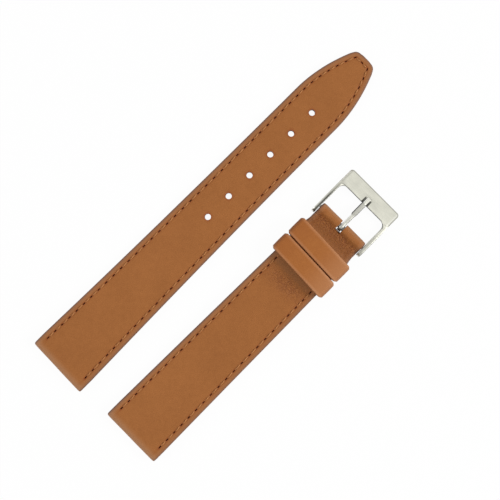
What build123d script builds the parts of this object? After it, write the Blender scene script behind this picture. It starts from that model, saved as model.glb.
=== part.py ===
from build123d import *
import math
import os

os.makedirs("parts", exist_ok=True)

# A leather watch strap in two pieces, lying face up on a table, side by side.
# The long piece has the tang holes and a pointed tip, and the short piece carries the buckle and two keepers.
# Millimetres. X runs from the watch end towards the tip and the buckle, Y across, Z up from the table.
# On each strap, s is the distance along X from its own watch end.

# Sizes of both straps
lug_width = 18.0
strap_gap = 9.35
face_thickness = 0.8
filler_end_thickness = 0.6
stay_thickness = 0.3
lining_thickness = 0.6
flap_thickness = 0.5
lug_bore_radius = 0.9
nose_wall = 0.7
glue_length = 1.9
lining_setback = 0.4
flap_length = 4.6
square_length = 4.0
lug_taper = 30.0

# The long strap
long_length = 118.0
long_width = 15.4
taper_sag = 0.27
tip_length = 19.0
tip_end_width = 5.8
tip_corner_radius = 1.6
hole_count = 6
hole_pitch = 7.94
hole_gap = 0.125
last_hole_to_tip = 20.7

# The short strap
short_length = 82.0
short_lug_offset = 0.6
short_end_width = 15.7
short_keeper_width = 16.3
ramp_start = 12.0
ramp_end = 45.0
pressed_depth = 0.35
lining_to_loop_end = 5.6

# The spring bar and the loop of leather round it
bar_radius = 0.75
bar_wall = 0.25
bar_lip = 0.4
bar_clearance = 0.05
bar_end_gap = 0.35
loop_wall = 0.7
pin_tip_radius = 0.36
pin_shoulder_length = 3.0
pin_clearance = 0.04
pin_end_inset = 0.1
pin_chamfer = 0.1
spring_wire_radius = 0.1
spring_side_gap = 0.06
spring_end_gap = 0.03
spring_pitch = 0.5

# The keepers
keeper_length = 5.3
keeper_band = 0.9
keeper_core = 0.3
keeper_core_inset = 0.6
keeper_slit = 0.2
keeper_pair_gap = 0.55
keeper_corner = 1.3
keeper_edge_radius = 0.28
keeper_to_loop_end = 7.5
keeper_pass_gap = 0.3
keeper_under_gap = 0.15
fixed_keeper_side_gap = 0.4
free_keeper_side_gap = 0.55
filler_over_tail = 0.2
pocket_clearance = 0.05

# The buckle frame
frame_side_gap = 0.2
arm_thickness = 0.975
arm_past_bar = 2.5
arm_tab_radius = 1.4
arm_crown = 0.35
arm_foot = 4.6
window_reach = 8.8
front_bar_length = 4.6
front_bar_height = 1.6
frame_corner_radius = 0.9
window_corner_radius = 1.7
frame_bevel = 0.3
notch_depth = 0.6
notch_side_gap = 0.525
notch_end_gap = 0.1

# The tang
tang_eye_wall = 0.45
tang_lap = 2.2
tang_shank_width = 1.1
tang_body_width = 1.45
tang_tip_width = 1.15
tang_body_start = 4.2
tang_body_blend = 0.7
tang_foot_drop = 0.35
tang_tip_thickness = 0.3
tang_tip_blend = 0.3
tang_tip_radius = 0.5
tang_seat_gap = 0.06
tang_slot_side_gap = 0.35
tang_slot_back_gap = 0.75

# The sewing
stitch_pitch = 2.83
seam_inset = 1.65
long_seam_start = 3.9
short_seam_start = 4.2
tip_seam_inset = 1.9
seam_end_inset = 1.4
thread_width = 0.45
thread_proud = 0.2
thread_sink = 0.25
leg_radius = 0.32
leg_head = 0.08
stitch_lap = 0.12
needle_clearance = 0.04
bed_clearance = 0.05

# One length past a surface serves every cut that has to run clear of it.
overrun = 5.0

# What fits together takes its size from what it fits.
strap_thickness = face_thickness + filler_end_thickness + stay_thickness + lining_thickness
keeper_tail_band = filler_end_thickness + stay_thickness - filler_over_tail
fixed_keeper_width = short_keeper_width + 2 * (keeper_band + fixed_keeper_side_gap)
free_keeper_width = short_keeper_width + 2 * (keeper_band + free_keeper_side_gap)
frame_inner_width = short_end_width + 2 * frame_side_gap
frame_width = frame_inner_width + 2 * arm_thickness
hole_radius = tang_body_width / 2 + hole_gap
notch_width = tang_tip_width + 2 * notch_side_gap
notch_length = tang_lap + notch_end_gap
tang_slot_width = tang_shank_width + 2 * tang_slot_side_gap
bar_bore = bar_radius - bar_wall
pin_shoulder_radius = bar_bore - pin_clearance
pin_hole_radius = pin_tip_radius + pin_clearance
spring_radius = bar_bore - spring_side_gap - spring_wire_radius
needle_hole_radius = leg_radius + needle_clearance
stitch_gap = 2 * (leg_radius - stitch_lap)

# Where the straps lie: the whole object is centred on the origin.
half_lug = lug_width / 2
strap_centres = lug_width + strap_gap
total_width = half_lug + strap_centres + free_keeper_width / 2
long_start = -long_length / 2
short_start = long_start + short_lug_offset
long_middle = total_width / 2 - half_lug
short_middle = long_middle - strap_centres
across = lug_width

long_plan = Plane(origin=(long_start, long_middle, 0), x_dir=(1, 0, 0), z_dir=(0, 0, 1))
long_side = Plane(origin=(long_start, long_middle, 0), x_dir=(1, 0, 0), z_dir=(0, -1, 0))
short_plan = Plane(origin=(short_start, short_middle, 0), x_dir=(1, 0, 0), z_dir=(0, 0, 1))
short_side = Plane(origin=(short_start, short_middle, 0), x_dir=(1, 0, 0), z_dir=(0, -1, 0))

# Heights along the straps. The short strap climbs a little, because a keeper passes under it.
nose_radius = lug_bore_radius + nose_wall
glued_length = nose_radius + lug_bore_radius + glue_length
lining_start = glued_length - lining_setback
flap_end = glued_length + flap_length
rise = keeper_band + keeper_under_gap
eye_bore = bar_radius + bar_clearance
eye_radius = eye_bore + tang_eye_wall
loop_radius = eye_bore + loop_wall
bar_s = short_length - loop_radius
bar_z = rise + loop_radius
fixed_keeper_start = short_length - keeper_to_loop_end - keeper_length
free_keeper_start = fixed_keeper_start - keeper_pair_gap - keeper_length
pocket_start = fixed_keeper_start - pocket_clearance
pocket_end = fixed_keeper_start + keeper_length + pocket_clearance
lining_end = short_length - lining_to_loop_end
tail_bottom = rise + lining_thickness
tail_top = tail_bottom + keeper_tail_band
keeper_inner_top = rise + 2 * strap_thickness + keeper_pass_gap
tall = keeper_inner_top + keeper_band + overrun


def on_runs(s, places, heights):
    """Height at s, on the straight runs that join the heights at the given places."""
    for here, there, low, high in zip(places, places[1:], heights, heights[1:]):
        if s <= there:
            return low + (high - low) * (s - here) / (there - here)
    return heights[-1]


def thickness(s):
    """Thickness of a strap, which is as thick as the nose at the watch and thins away from it."""
    return on_runs(s, [nose_radius, lug_taper], [2 * nose_radius, strap_thickness])


def long_under(s):
    return 0.0


def long_top(s):
    return thickness(s)


def short_under(s):
    return on_runs(s, [0.0, ramp_start, ramp_end], [0.0, 0.0, rise])


def short_top(s):
    return short_under(s) + thickness(s)


def along(height, start, end, shift=0.0):
    """Points that follow a strap's surface from start to end, with every bend between them."""
    bends = [s for s in (ramp_start, lug_taper, ramp_end) if min(start, end) < s < max(start, end)]
    stations = [start, *sorted(bends, reverse=start > end), end]
    return [(s, height(s) + shift) for s in stations]


# Outlines seen from above

tip_start = long_length - tip_length
tip_drop = (long_width - tip_end_width) / 2
tip_arc_radius = (tip_length**2 + tip_drop**2) / (2 * tip_drop)
tip_angle = math.degrees(math.asin(tip_length / tip_arc_radius))
tip_arc_centre = (tip_start, long_width / 2 - tip_arc_radius)
half_waist = (half_lug + long_width / 2) / 2 - taper_sag

with BuildSketch(long_plan) as long_outline:
    with BuildLine():
        Line((0, half_lug), (square_length, half_lug))
        ThreePointArc(
            (square_length, half_lug),
            ((square_length + tip_start) / 2, half_waist),
            (tip_start, long_width / 2),
        )
        CenterArc(tip_arc_centre, tip_arc_radius, 90 - tip_angle, tip_angle)
        mirror(about=Plane.XZ)
        Line((long_length, tip_end_width / 2), (long_length, -tip_end_width / 2))
        Line((0, half_lug), (0, -half_lug))
    make_face()
    fillet(long_outline.vertices().group_by(Axis.X)[-1], tip_corner_radius)

with BuildSketch(short_plan) as short_outline:
    with BuildLine():
        Polyline(
            (0, half_lug),
            (square_length, half_lug),
            (free_keeper_start, short_keeper_width / 2),
            (pocket_end, short_keeper_width / 2),
            (lining_end, short_end_width / 2),
            (short_length, short_end_width / 2),
        )
        mirror(about=Plane.XZ)
        Line((short_length, short_end_width / 2), (short_length, -short_end_width / 2))
        Line((0, half_lug), (0, -half_lug))
    make_face()

# Seams: one line of needle holes inside each edge, evenly spaced

seam_tip_radius = tip_arc_radius - seam_inset
seam_tip_angle = math.degrees(math.asin((tip_length - tip_seam_inset) / seam_tip_radius))

with BuildLine() as long_seam:
    ThreePointArc(
        (long_seam_start, half_lug - seam_inset),
        ((long_seam_start + tip_start) / 2, half_waist - seam_inset),
        (tip_start, long_width / 2 - seam_inset),
    )
    CenterArc(tip_arc_centre, seam_tip_radius, 90 - seam_tip_angle, seam_tip_angle)

with BuildLine() as short_seam:
    Polyline(
        (short_seam_start, half_lug - seam_inset),
        (free_keeper_start, short_keeper_width / 2 - seam_inset),
        (pocket_end - seam_end_inset, short_keeper_width / 2 - seam_inset),
    )


def needle_places(seam):
    """Needle holes along one side's seam, from the watch end on."""
    path = seam.wires()[0]
    count = round(path.length / stitch_pitch)
    places = [path @ (i / count) for i in range(count + 1)]
    return sorted(places, key=lambda place: place.X)


def other_side(places):
    return [Vector(place.X, -place.Y) for place in places]


def stitch_places(holes):
    """The middle and the turn of the stitch between each two neighbouring holes."""
    places = []
    for here, there in zip(holes, holes[1:]):
        middle = (here + there) / 2
        turn = math.degrees(math.atan2(there.Y - here.Y, there.X - here.X))
        places.append(Location((middle.X, middle.Y), turn))
    return places


long_side_holes = needle_places(long_seam)
tip_corner_hole = long_side_holes[-1]
tip_middle_hole = Vector(tip_corner_hole.X, 0)
tip_holes = [tip_corner_hole, tip_middle_hole, *other_side([tip_corner_hole])]
long_holes = [*long_side_holes, tip_middle_hole, *other_side(long_side_holes)]
long_side_stitches = [*stitch_places(long_side_holes), *stitch_places(other_side(long_side_holes))]
long_side_stitch = (long_side_holes[1] - long_side_holes[0]).length
tip_stitch = (tip_corner_hole - tip_middle_hole).length

short_side_holes = needle_places(short_seam)
short_holes = [*short_side_holes, *other_side(short_side_holes)]
short_stitches = [*stitch_places(short_side_holes), *stitch_places(other_side(short_side_holes))]
short_stitch = (short_side_holes[1] - short_side_holes[0]).length

bed_width = thread_width + 2 * bed_clearance
bed_depth = thread_sink + bed_clearance

with BuildSketch(long_plan) as long_needle_holes:
    with Locations(*long_holes):
        Circle(needle_hole_radius)

with BuildSketch(long_plan) as long_thread_legs:
    with Locations(*long_holes):
        Circle(leg_radius)

with BuildSketch(long_plan) as long_thread_bars:
    with Locations(*long_side_stitches):
        SlotOverall(long_side_stitch - stitch_gap, thread_width)
    with Locations(*stitch_places(tip_holes)):
        SlotOverall(tip_stitch - stitch_gap, thread_width)

with BuildSketch(long_plan) as long_thread_beds:
    with Locations(*long_side_stitches):
        SlotOverall(long_side_stitch - stitch_gap + 2 * bed_clearance, bed_width)
    with Locations(*stitch_places(tip_holes)):
        SlotOverall(tip_stitch - stitch_gap + 2 * bed_clearance, bed_width)

with BuildSketch(short_plan) as short_needle_holes:
    with Locations(*short_holes):
        Circle(needle_hole_radius)

with BuildSketch(short_plan) as short_thread_legs:
    with Locations(*short_holes):
        Circle(leg_radius)

with BuildSketch(short_plan) as short_thread_bars:
    with Locations(*short_stitches):
        SlotOverall(short_stitch - stitch_gap, thread_width)

with BuildSketch(short_plan) as short_thread_beds:
    with Locations(*short_stitches):
        SlotOverall(short_stitch - stitch_gap + 2 * bed_clearance, bed_width)

with BuildSketch(long_plan) as tang_holes:
    first_hole = long_length - last_hole_to_tip - (hole_count - 1) * hole_pitch
    with Locations(*[(first_hole + i * hole_pitch, 0) for i in range(hole_count)]):
        Circle(hole_radius)

# The long strap's face leather folds round the watch's bar and turns back under the filler.

with BuildPart() as long_face_leather:
    with BuildSketch(long_side):
        with BuildLine():
            Polyline(
                (nose_radius, 2 * nose_radius),
                *along(long_top, lug_taper, long_length),
                *along(long_top, long_length, glued_length, -face_thickness),
                (glued_length, lining_thickness + flap_thickness),
                (flap_end, lining_thickness + flap_thickness),
                (flap_end, lining_thickness),
                (lining_start, lining_thickness),
                (lining_start, 0),
                (nose_radius, 0),
            )
            ThreePointArc((nose_radius, 0), (0, nose_radius), (nose_radius, 2 * nose_radius))
        make_face()
        with Locations((nose_radius, nose_radius)):
            Circle(lug_bore_radius, mode=Mode.SUBTRACT)
    extrude(amount=across, both=True)
    extrude(long_outline.sketch, amount=tall, both=True, mode=Mode.INTERSECT)
    extrude(tang_holes.sketch, amount=tall, both=True, mode=Mode.SUBTRACT)
    extrude(long_needle_holes.sketch, amount=tall, both=True, mode=Mode.SUBTRACT)

with BuildPart() as long_filler:
    with BuildSketch(long_side):
        with BuildLine():
            Polyline(
                *along(long_top, glued_length, long_length, -face_thickness),
                (long_length, lining_thickness + stay_thickness),
                (flap_end, lining_thickness + stay_thickness),
                (flap_end, lining_thickness + flap_thickness),
                (glued_length, lining_thickness + flap_thickness),
                close=True,
            )
        make_face()
    extrude(amount=across, both=True)
    extrude(long_outline.sketch, amount=tall, both=True, mode=Mode.INTERSECT)
    extrude(tang_holes.sketch, amount=tall, both=True, mode=Mode.SUBTRACT)
    extrude(long_needle_holes.sketch, amount=tall, both=True, mode=Mode.SUBTRACT)

with BuildPart() as long_stay:
    with BuildSketch(long_side):
        with BuildLine():
            Polyline(
                *along(long_under, flap_end, long_length, lining_thickness),
                *along(long_under, long_length, flap_end, lining_thickness + stay_thickness),
                close=True,
            )
        make_face()
    extrude(amount=across, both=True)
    extrude(long_outline.sketch, amount=tall, both=True, mode=Mode.INTERSECT)
    extrude(tang_holes.sketch, amount=tall, both=True, mode=Mode.SUBTRACT)
    extrude(long_needle_holes.sketch, amount=tall, both=True, mode=Mode.SUBTRACT)

with BuildPart() as long_lining:
    with BuildSketch(long_side):
        with BuildLine():
            Polyline(
                *along(long_under, lining_start, long_length),
                *along(long_under, long_length, lining_start, lining_thickness),
                close=True,
            )
        make_face()
    extrude(amount=across, both=True)
    extrude(long_outline.sketch, amount=tall, both=True, mode=Mode.INTERSECT)
    extrude(tang_holes.sketch, amount=tall, both=True, mode=Mode.SUBTRACT)
    extrude(long_needle_holes.sketch, amount=tall, both=True, mode=Mode.SUBTRACT)
    extrude(long_thread_beds.sketch, amount=bed_depth, mode=Mode.SUBTRACT)

# The short strap's face leather also folds round the buckle's bar, with a slot for the tang.

with BuildPart() as short_face_leather:
    with BuildSketch(short_side):
        with BuildLine():
            Polyline(
                (nose_radius, 2 * nose_radius),
                *along(short_top, ramp_start, pocket_end),
                (pocket_end, short_top(pocket_end) - pressed_depth),
                (bar_s, short_top(bar_s) - pressed_depth),
                (bar_s, rise),
                (lining_end, rise),
                (lining_end, tail_bottom),
                (pocket_end, tail_bottom),
                *along(short_top, pocket_end, glued_length, -face_thickness),
                (glued_length, lining_thickness + flap_thickness),
                (flap_end, lining_thickness + flap_thickness),
                (flap_end, lining_thickness),
                (lining_start, lining_thickness),
                (lining_start, 0),
                (nose_radius, 0),
            )
            ThreePointArc((nose_radius, 0), (0, nose_radius), (nose_radius, 2 * nose_radius))
        make_face()
        with Locations((bar_s, bar_z)):
            Circle(loop_radius)
            Circle(eye_bore, mode=Mode.SUBTRACT)
        with Locations((nose_radius, nose_radius)):
            Circle(lug_bore_radius, mode=Mode.SUBTRACT)
    extrude(amount=across, both=True)
    extrude(short_outline.sketch, amount=tall, both=True, mode=Mode.INTERSECT)
    extrude(short_needle_holes.sketch, amount=tall, both=True, mode=Mode.SUBTRACT)
    with BuildSketch(short_plan):
        with Locations((bar_s - eye_radius - tang_slot_back_gap, 0)):
            Rectangle(across, tang_slot_width, align=(Align.MIN, Align.CENTER))
    extrude(amount=tall, both=True, mode=Mode.SUBTRACT)

with BuildPart() as short_filler:
    with BuildSketch(short_side):
        with BuildLine():
            Polyline(
                *along(short_top, glued_length, pocket_end, -face_thickness),
                (pocket_end, tail_top),
                (pocket_start, tail_top),
                *along(short_under, pocket_start, flap_end, lining_thickness + stay_thickness),
                (flap_end, lining_thickness + flap_thickness),
                (glued_length, lining_thickness + flap_thickness),
                close=True,
            )
        make_face()
    extrude(amount=across, both=True)
    extrude(short_outline.sketch, amount=tall, both=True, mode=Mode.INTERSECT)
    extrude(short_needle_holes.sketch, amount=tall, both=True, mode=Mode.SUBTRACT)

with BuildPart() as short_stay:
    with BuildSketch(short_side):
        with BuildLine():
            Polyline(
                *along(short_under, flap_end, pocket_start, lining_thickness),
                *along(short_under, pocket_start, flap_end, lining_thickness + stay_thickness),
                close=True,
            )
        make_face()
    extrude(amount=across, both=True)
    extrude(short_outline.sketch, amount=tall, both=True, mode=Mode.INTERSECT)
    extrude(short_needle_holes.sketch, amount=tall, both=True, mode=Mode.SUBTRACT)

with BuildPart() as short_beds:
    with BuildSketch(short_side):
        with BuildLine():
            Polyline(
                *along(short_under, 0.0, short_length),
                *along(short_under, short_length, 0.0, bed_depth),
                close=True,
            )
        make_face()
    extrude(amount=across, both=True)
    extrude(short_thread_beds.sketch, amount=tall, both=True, mode=Mode.INTERSECT)

with BuildPart() as short_lining:
    with BuildSketch(short_side):
        with BuildLine():
            Polyline(
                *along(short_under, lining_start, lining_end),
                *along(short_under, lining_end, lining_start, lining_thickness),
                close=True,
            )
        make_face()
    extrude(amount=across, both=True)
    extrude(short_outline.sketch, amount=tall, both=True, mode=Mode.INTERSECT)
    extrude(short_needle_holes.sketch, amount=tall, both=True, mode=Mode.SUBTRACT)
    add(short_beds.part, mode=Mode.SUBTRACT)


def sewing(side, bars, legs, under, top, start, end):
    """The needle thread on the face and the bobbin thread in the lining, meeting halfway down each hole."""

    def halfway(s):
        return (under(s) + top(s)) / 2

    def slab(low, low_shift, high, high_shift, outline):
        with BuildPart() as cut:
            with BuildSketch(side):
                with BuildLine():
                    Polyline(
                        *along(low, start, end, low_shift),
                        *along(high, end, start, high_shift),
                        close=True,
                    )
                make_face()
            extrude(amount=across, both=True)
            extrude(outline.sketch, amount=tall, both=True, mode=Mode.INTERSECT)
        return cut.part

    with BuildPart() as needle_thread:
        add(slab(top, 0.0, top, thread_proud, bars))
        add(slab(halfway, 0.0, top, leg_head, legs))
    with BuildPart() as bobbin_thread:
        add(slab(under, bed_clearance, under, thread_sink, bars))
        add(slab(under, 2 * bed_clearance, halfway, 0.0, legs))
    return needle_thread, bobbin_thread


long_needle_thread, long_bobbin_thread = sewing(
    long_side, long_thread_bars, long_thread_legs, long_under, long_top, nose_radius, long_length
)
short_needle_thread, short_bobbin_thread = sewing(
    short_side, short_thread_bars, short_thread_legs, short_under, short_top, nose_radius, short_length
)


def keeper(start, width, bottom, bottom_band):
    """A strip of leather folded round a thin core and closed into a ring, with its open slit inside."""
    height = keeper_inner_top + keeper_band - bottom
    middle = bottom + height / 2
    side_skin = (keeper_band - keeper_core) / 2
    bottom_skin = (bottom_band - keeper_core) / 2

    def ring_plane(x):
        return Plane(origin=(short_start + x, short_middle, 0), x_dir=(0, 1, 0), z_dir=(1, 0, 0))

    def frame_of(side_inset, bottom_inset):
        """Middle height, width, height and corner of the ring's section, drawn in by the two insets."""
        low = bottom + bottom_inset
        high = bottom + height - side_inset
        return (low + high) / 2, width - 2 * side_inset, high - low, keeper_corner - side_inset

    outer = frame_of(0.0, 0.0)
    inner = frame_of(keeper_band, bottom_band)
    core_outer = frame_of(side_skin, bottom_skin)
    core_inner = frame_of(side_skin + keeper_core, bottom_skin + keeper_core)

    with BuildPart() as core:
        with BuildSketch(ring_plane(start + keeper_core_inset)):
            with Locations((0, core_outer[0])):
                RectangleRounded(*core_outer[1:])
            with Locations((0, core_inner[0])):
                RectangleRounded(*core_inner[1:], mode=Mode.SUBTRACT)
        extrude(amount=keeper_length - 2 * keeper_core_inset)

    with BuildPart() as cover:
        with BuildSketch(ring_plane(start)):
            with Locations((0, outer[0])):
                RectangleRounded(*outer[1:])
        extrude(amount=keeper_length)
        fillet(cover.edges().group_by(Axis.X)[0] + cover.edges().group_by(Axis.X)[-1], keeper_edge_radius)
        with BuildSketch(ring_plane(start - overrun)):
            with Locations((0, inner[0])):
                RectangleRounded(*inner[1:])
        extrude(amount=keeper_length + 2 * overrun, mode=Mode.SUBTRACT)
        with BuildSketch(ring_plane(start + (keeper_length - keeper_slit) / 2)):
            with Locations((0, core_inner[0])):
                RectangleRounded(*core_inner[1:])
        extrude(amount=keeper_slit, mode=Mode.SUBTRACT)
        add(core.part, mode=Mode.SUBTRACT)
    return cover, core


free_keeper_cover, free_keeper_core = keeper(free_keeper_start, free_keeper_width, 0.0, keeper_band)
fixed_ring, fixed_ring_core = keeper(fixed_keeper_start, fixed_keeper_width, tail_bottom, keeper_tail_band)

# The side seams run through the fixed keeper's tails, which is what holds it.

with BuildPart() as fixed_keeper_cover:
    add(fixed_ring.part)
    extrude(short_needle_holes.sketch, amount=tail_top + pocket_clearance, mode=Mode.SUBTRACT)

with BuildPart() as fixed_keeper_core:
    add(fixed_ring_core.part)
    extrude(short_needle_holes.sketch, amount=tail_top + pocket_clearance, mode=Mode.SUBTRACT)

# The buckle frame: two tall arms and a flat front bar that lies on the table, with a notch for the tang

window_s = bar_s + window_reach
front_s = window_s + front_bar_length
frame_rear = bar_s - arm_past_bar
frame_length = front_s - frame_rear
tab_s = frame_rear + arm_tab_radius
arm_middle_s = (tab_s + window_s) / 2
arm_top = bar_z + arm_tab_radius
arm_middle_z = (arm_top + front_bar_height) / 2 + arm_crown

with BuildSketch(short_plan) as frame_outline:
    with Locations((front_s, 0)):
        Rectangle(frame_length, frame_width, align=(Align.MAX, Align.CENTER))
    fillet(frame_outline.vertices().group_by(Axis.X)[-1], frame_corner_radius)

with BuildSketch(short_plan) as frame_window:
    with Locations((window_s, 0)):
        Rectangle(frame_length, frame_inner_width, align=(Align.MAX, Align.CENTER))
    fillet(frame_window.vertices().group_by(Axis.X)[-1], window_corner_radius)

with BuildPart() as buckle_frame:
    with BuildSketch(short_side):
        with BuildLine():
            ThreePointArc((tab_s, arm_top), (arm_middle_s, arm_middle_z), (window_s, front_bar_height))
            Polyline(
                (window_s, front_bar_height),
                (front_s, front_bar_height),
                (front_s, 0),
                (tab_s + arm_foot, 0),
                (tab_s, bar_z - arm_tab_radius),
                (tab_s, arm_top),
            )
        make_face()
        with Locations((tab_s, bar_z)):
            Circle(arm_tab_radius)
    extrude(amount=across, both=True)
    extrude(frame_outline.sketch, amount=tall, both=True, mode=Mode.INTERSECT)
    extrude(frame_window.sketch, amount=tall, both=True, mode=Mode.SUBTRACT)
    chamfer(
        buckle_frame.faces().sort_by(Axis.X)[-1].edges().filter_by(Axis.Y),
        frame_bevel,
    )
    with BuildSketch(short_side):
        with Locations((bar_s, bar_z)):
            Circle(pin_hole_radius)
    extrude(amount=across, both=True, mode=Mode.SUBTRACT)
    with BuildSketch(short_side):
        with BuildLine():
            Polyline(
                (window_s - overrun, front_bar_height - notch_depth),
                (window_s, front_bar_height - notch_depth),
                (window_s + notch_length, front_bar_height),
                (window_s + notch_length, front_bar_height + overrun),
                (window_s - overrun, front_bar_height + overrun),
                close=True,
            )
        make_face()
    extrude(amount=notch_width / 2, both=True, mode=Mode.SUBTRACT)

# The tang: an eye round the spring bar, in the leather's slot, and a point that rests in the notch

tang_tip_s = window_s + tang_lap
seat_z = front_bar_height - notch_depth + tang_seat_gap
tip_seat_z = seat_z + notch_depth * (tang_tip_s - window_s) / notch_length

with BuildPart() as buckle_tang:
    with BuildSketch(short_side):
        with BuildLine():
            Polyline(
                (bar_s, bar_z + eye_radius),
                (tang_tip_s, tip_seat_z + tang_tip_thickness),
                (tang_tip_s, tip_seat_z),
                (window_s, seat_z),
                (bar_s, bar_z - tang_foot_drop),
                close=True,
            )
        make_face()
        with Locations((bar_s, bar_z)):
            Circle(eye_radius)
            Circle(eye_bore, mode=Mode.SUBTRACT)
    extrude(amount=across, both=True)
    with BuildSketch(short_plan) as tang_outline:
        with BuildLine():
            Polyline(
                (bar_s - eye_radius, tang_shank_width / 2),
                (bar_s + tang_body_start, tang_shank_width / 2),
                (bar_s + tang_body_start + tang_body_blend, tang_body_width / 2),
                (window_s - tang_tip_blend, tang_body_width / 2),
                (window_s, tang_tip_width / 2),
                (tang_tip_s, tang_tip_width / 2),
            )
            mirror(about=Plane.XZ)
            Line((bar_s - eye_radius, -tang_shank_width / 2), (bar_s - eye_radius, tang_shank_width / 2))
            Line((tang_tip_s, tang_tip_width / 2), (tang_tip_s, -tang_tip_width / 2))
        make_face()
        fillet(tang_outline.vertices().group_by(Axis.X)[-1], tang_tip_radius)
    extrude(amount=tall, both=True, mode=Mode.INTERSECT)

# The spring bar: a tube with drawn-in ends, and two pins pushed apart by a spring inside it

half_tube = frame_inner_width / 2 - bar_end_gap
shoulder_end = half_tube - bar_lip - pin_clearance
shoulder_start = shoulder_end - pin_shoulder_length
pin_end = frame_width / 2 - pin_end_inset

with BuildPart() as bar_tube:
    with BuildSketch(short_side):
        with Locations((bar_s, bar_z)):
            Circle(bar_radius)
    extrude(amount=half_tube, both=True)
    with BuildSketch(short_side):
        with Locations((bar_s, bar_z)):
            Circle(bar_bore)
    extrude(amount=half_tube - bar_lip, both=True, mode=Mode.SUBTRACT)
    with BuildSketch(short_side):
        with Locations((bar_s, bar_z)):
            Circle(pin_hole_radius)
    extrude(amount=half_tube + overrun, both=True, mode=Mode.SUBTRACT)


def bar_pin(side):
    """A stepped pin that points out of the tube on the given side."""
    middle = (short_start + bar_s, short_middle, bar_z)
    outwards = Plane(origin=middle, x_dir=(1, 0, 0), z_dir=(0, side, 0))
    with BuildPart() as pin:
        with BuildSketch(outwards.offset(shoulder_start)):
            Circle(pin_shoulder_radius)
        extrude(amount=pin_shoulder_length)
        with BuildSketch(outwards.offset(shoulder_end)):
            Circle(pin_tip_radius)
        extrude(amount=pin_end - shoulder_end)
        chamfer(pin.faces().sort_by(Axis.Y, reverse=side < 0)[-1].edges(), pin_chamfer)
    return pin


bar_pin_left = bar_pin(1)
bar_pin_right = bar_pin(-1)

spring_length = 2 * (shoulder_start - spring_end_gap - spring_wire_radius)
spring_turns = round(spring_length / spring_pitch)

with BuildPart() as bar_spring:
    with BuildLine():
        coil = Helix(
            pitch=spring_length / spring_turns,
            height=spring_length,
            radius=spring_radius,
            center=(short_start + bar_s, short_middle - spring_length / 2, bar_z),
            direction=(0, 1, 0),
        )
    with BuildSketch(Plane(origin=coil @ 0, z_dir=coil % 0)):
        Circle(spring_wire_radius)
    sweep(is_frenet=True)

pieces = {
    "long_face_leather": long_face_leather,
    "long_filler": long_filler,
    "long_stay": long_stay,
    "long_lining": long_lining,
    "long_needle_thread": long_needle_thread,
    "long_bobbin_thread": long_bobbin_thread,
    "short_face_leather": short_face_leather,
    "short_filler": short_filler,
    "short_stay": short_stay,
    "short_lining": short_lining,
    "short_needle_thread": short_needle_thread,
    "short_bobbin_thread": short_bobbin_thread,
    "fixed_keeper_cover": fixed_keeper_cover,
    "fixed_keeper_core": fixed_keeper_core,
    "free_keeper_cover": free_keeper_cover,
    "free_keeper_core": free_keeper_core,
    "buckle_frame": buckle_frame,
    "buckle_tang": buckle_tang,
    "bar_tube": bar_tube,
    "bar_pin_left": bar_pin_left,
    "bar_pin_right": bar_pin_right,
    "bar_spring": bar_spring,
}
for name, piece in pieces.items():
    piece.part.label = name
    export_step(piece.part, f"parts/{name}.step")
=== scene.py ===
import bisect
import math
import random
from types import SimpleNamespace

import bmesh
import bpy
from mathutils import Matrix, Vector, noise


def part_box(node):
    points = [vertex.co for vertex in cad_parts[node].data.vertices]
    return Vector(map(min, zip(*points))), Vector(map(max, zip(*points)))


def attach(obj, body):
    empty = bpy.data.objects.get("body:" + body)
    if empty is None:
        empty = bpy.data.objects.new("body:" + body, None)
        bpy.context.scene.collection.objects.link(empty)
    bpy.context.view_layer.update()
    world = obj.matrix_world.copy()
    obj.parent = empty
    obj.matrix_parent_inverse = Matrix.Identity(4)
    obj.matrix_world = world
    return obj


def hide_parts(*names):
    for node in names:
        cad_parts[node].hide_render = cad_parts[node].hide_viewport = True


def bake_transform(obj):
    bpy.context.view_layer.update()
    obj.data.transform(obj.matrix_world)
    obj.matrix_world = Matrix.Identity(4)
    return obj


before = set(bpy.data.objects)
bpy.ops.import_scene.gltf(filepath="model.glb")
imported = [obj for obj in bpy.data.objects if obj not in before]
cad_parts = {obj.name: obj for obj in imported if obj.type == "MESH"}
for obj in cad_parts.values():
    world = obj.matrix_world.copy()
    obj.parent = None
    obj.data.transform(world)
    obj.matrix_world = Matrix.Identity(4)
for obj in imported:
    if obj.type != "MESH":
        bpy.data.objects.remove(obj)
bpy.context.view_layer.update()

# The long strap's face is one piece of tan calf leather, 0.8 mm thick, dyed through, with a soft gloss. Its
# watch end is folded round the hole for the watch's bar and glued back on itself, its edges are turned down
# and painted, six round holes are punched through it for the tang, and a slit is pricked for every stitch.

mm = 0.001
face_thickness = 0.8
flap_thickness = 0.5
stay_thickness = 0.3
lining_thickness = 0.6
lug_end_height = 3.2
nose_radius = lug_end_height / 2
bar_hole_radius = 0.9
lining_start = 4.0
glued_length = 4.4
flap_end = 9.0
thin_from = 30.0
thin_height = 2.3

long_length = 118.0
tip_start = 99.0
widest, tip_half_width = 9.0, 7.7
long_half_widths = [(lining_start, widest), (51.5, 8.08), (tip_start, tip_half_width)]
tip_narrowing, tip_power = 0.01393, 1.96
tip_corner_centre = (115.95, 1.96)
tip_corner_radius = 1.9
tip_bulge = 0.15
tip_reach = 2.2
tip_hole_place = 116.35
last_corner_hole = 116.05

seam_inset = 1.65
stitch_length = 2.83
rows_per_stitch = 10
slit_half_length = 0.5
slit_half_width = 0.16
tang_hole_radius = 0.85
tang_hole_lip = 0.13
tang_hole_places = [57.6 + 7.94 * i for i in range(6)]
tang_hole_cell = 0.28
long_skew = 0.036
skew_end = 12.0


def smooth_step(low, high, value):
    """0 up to the low value and 1 from the high one on, with an easy slope between."""
    share = min(max((value - low) / (high - low), 0.0), 1.0)
    return share * share * (3 - 2 * share)


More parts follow.
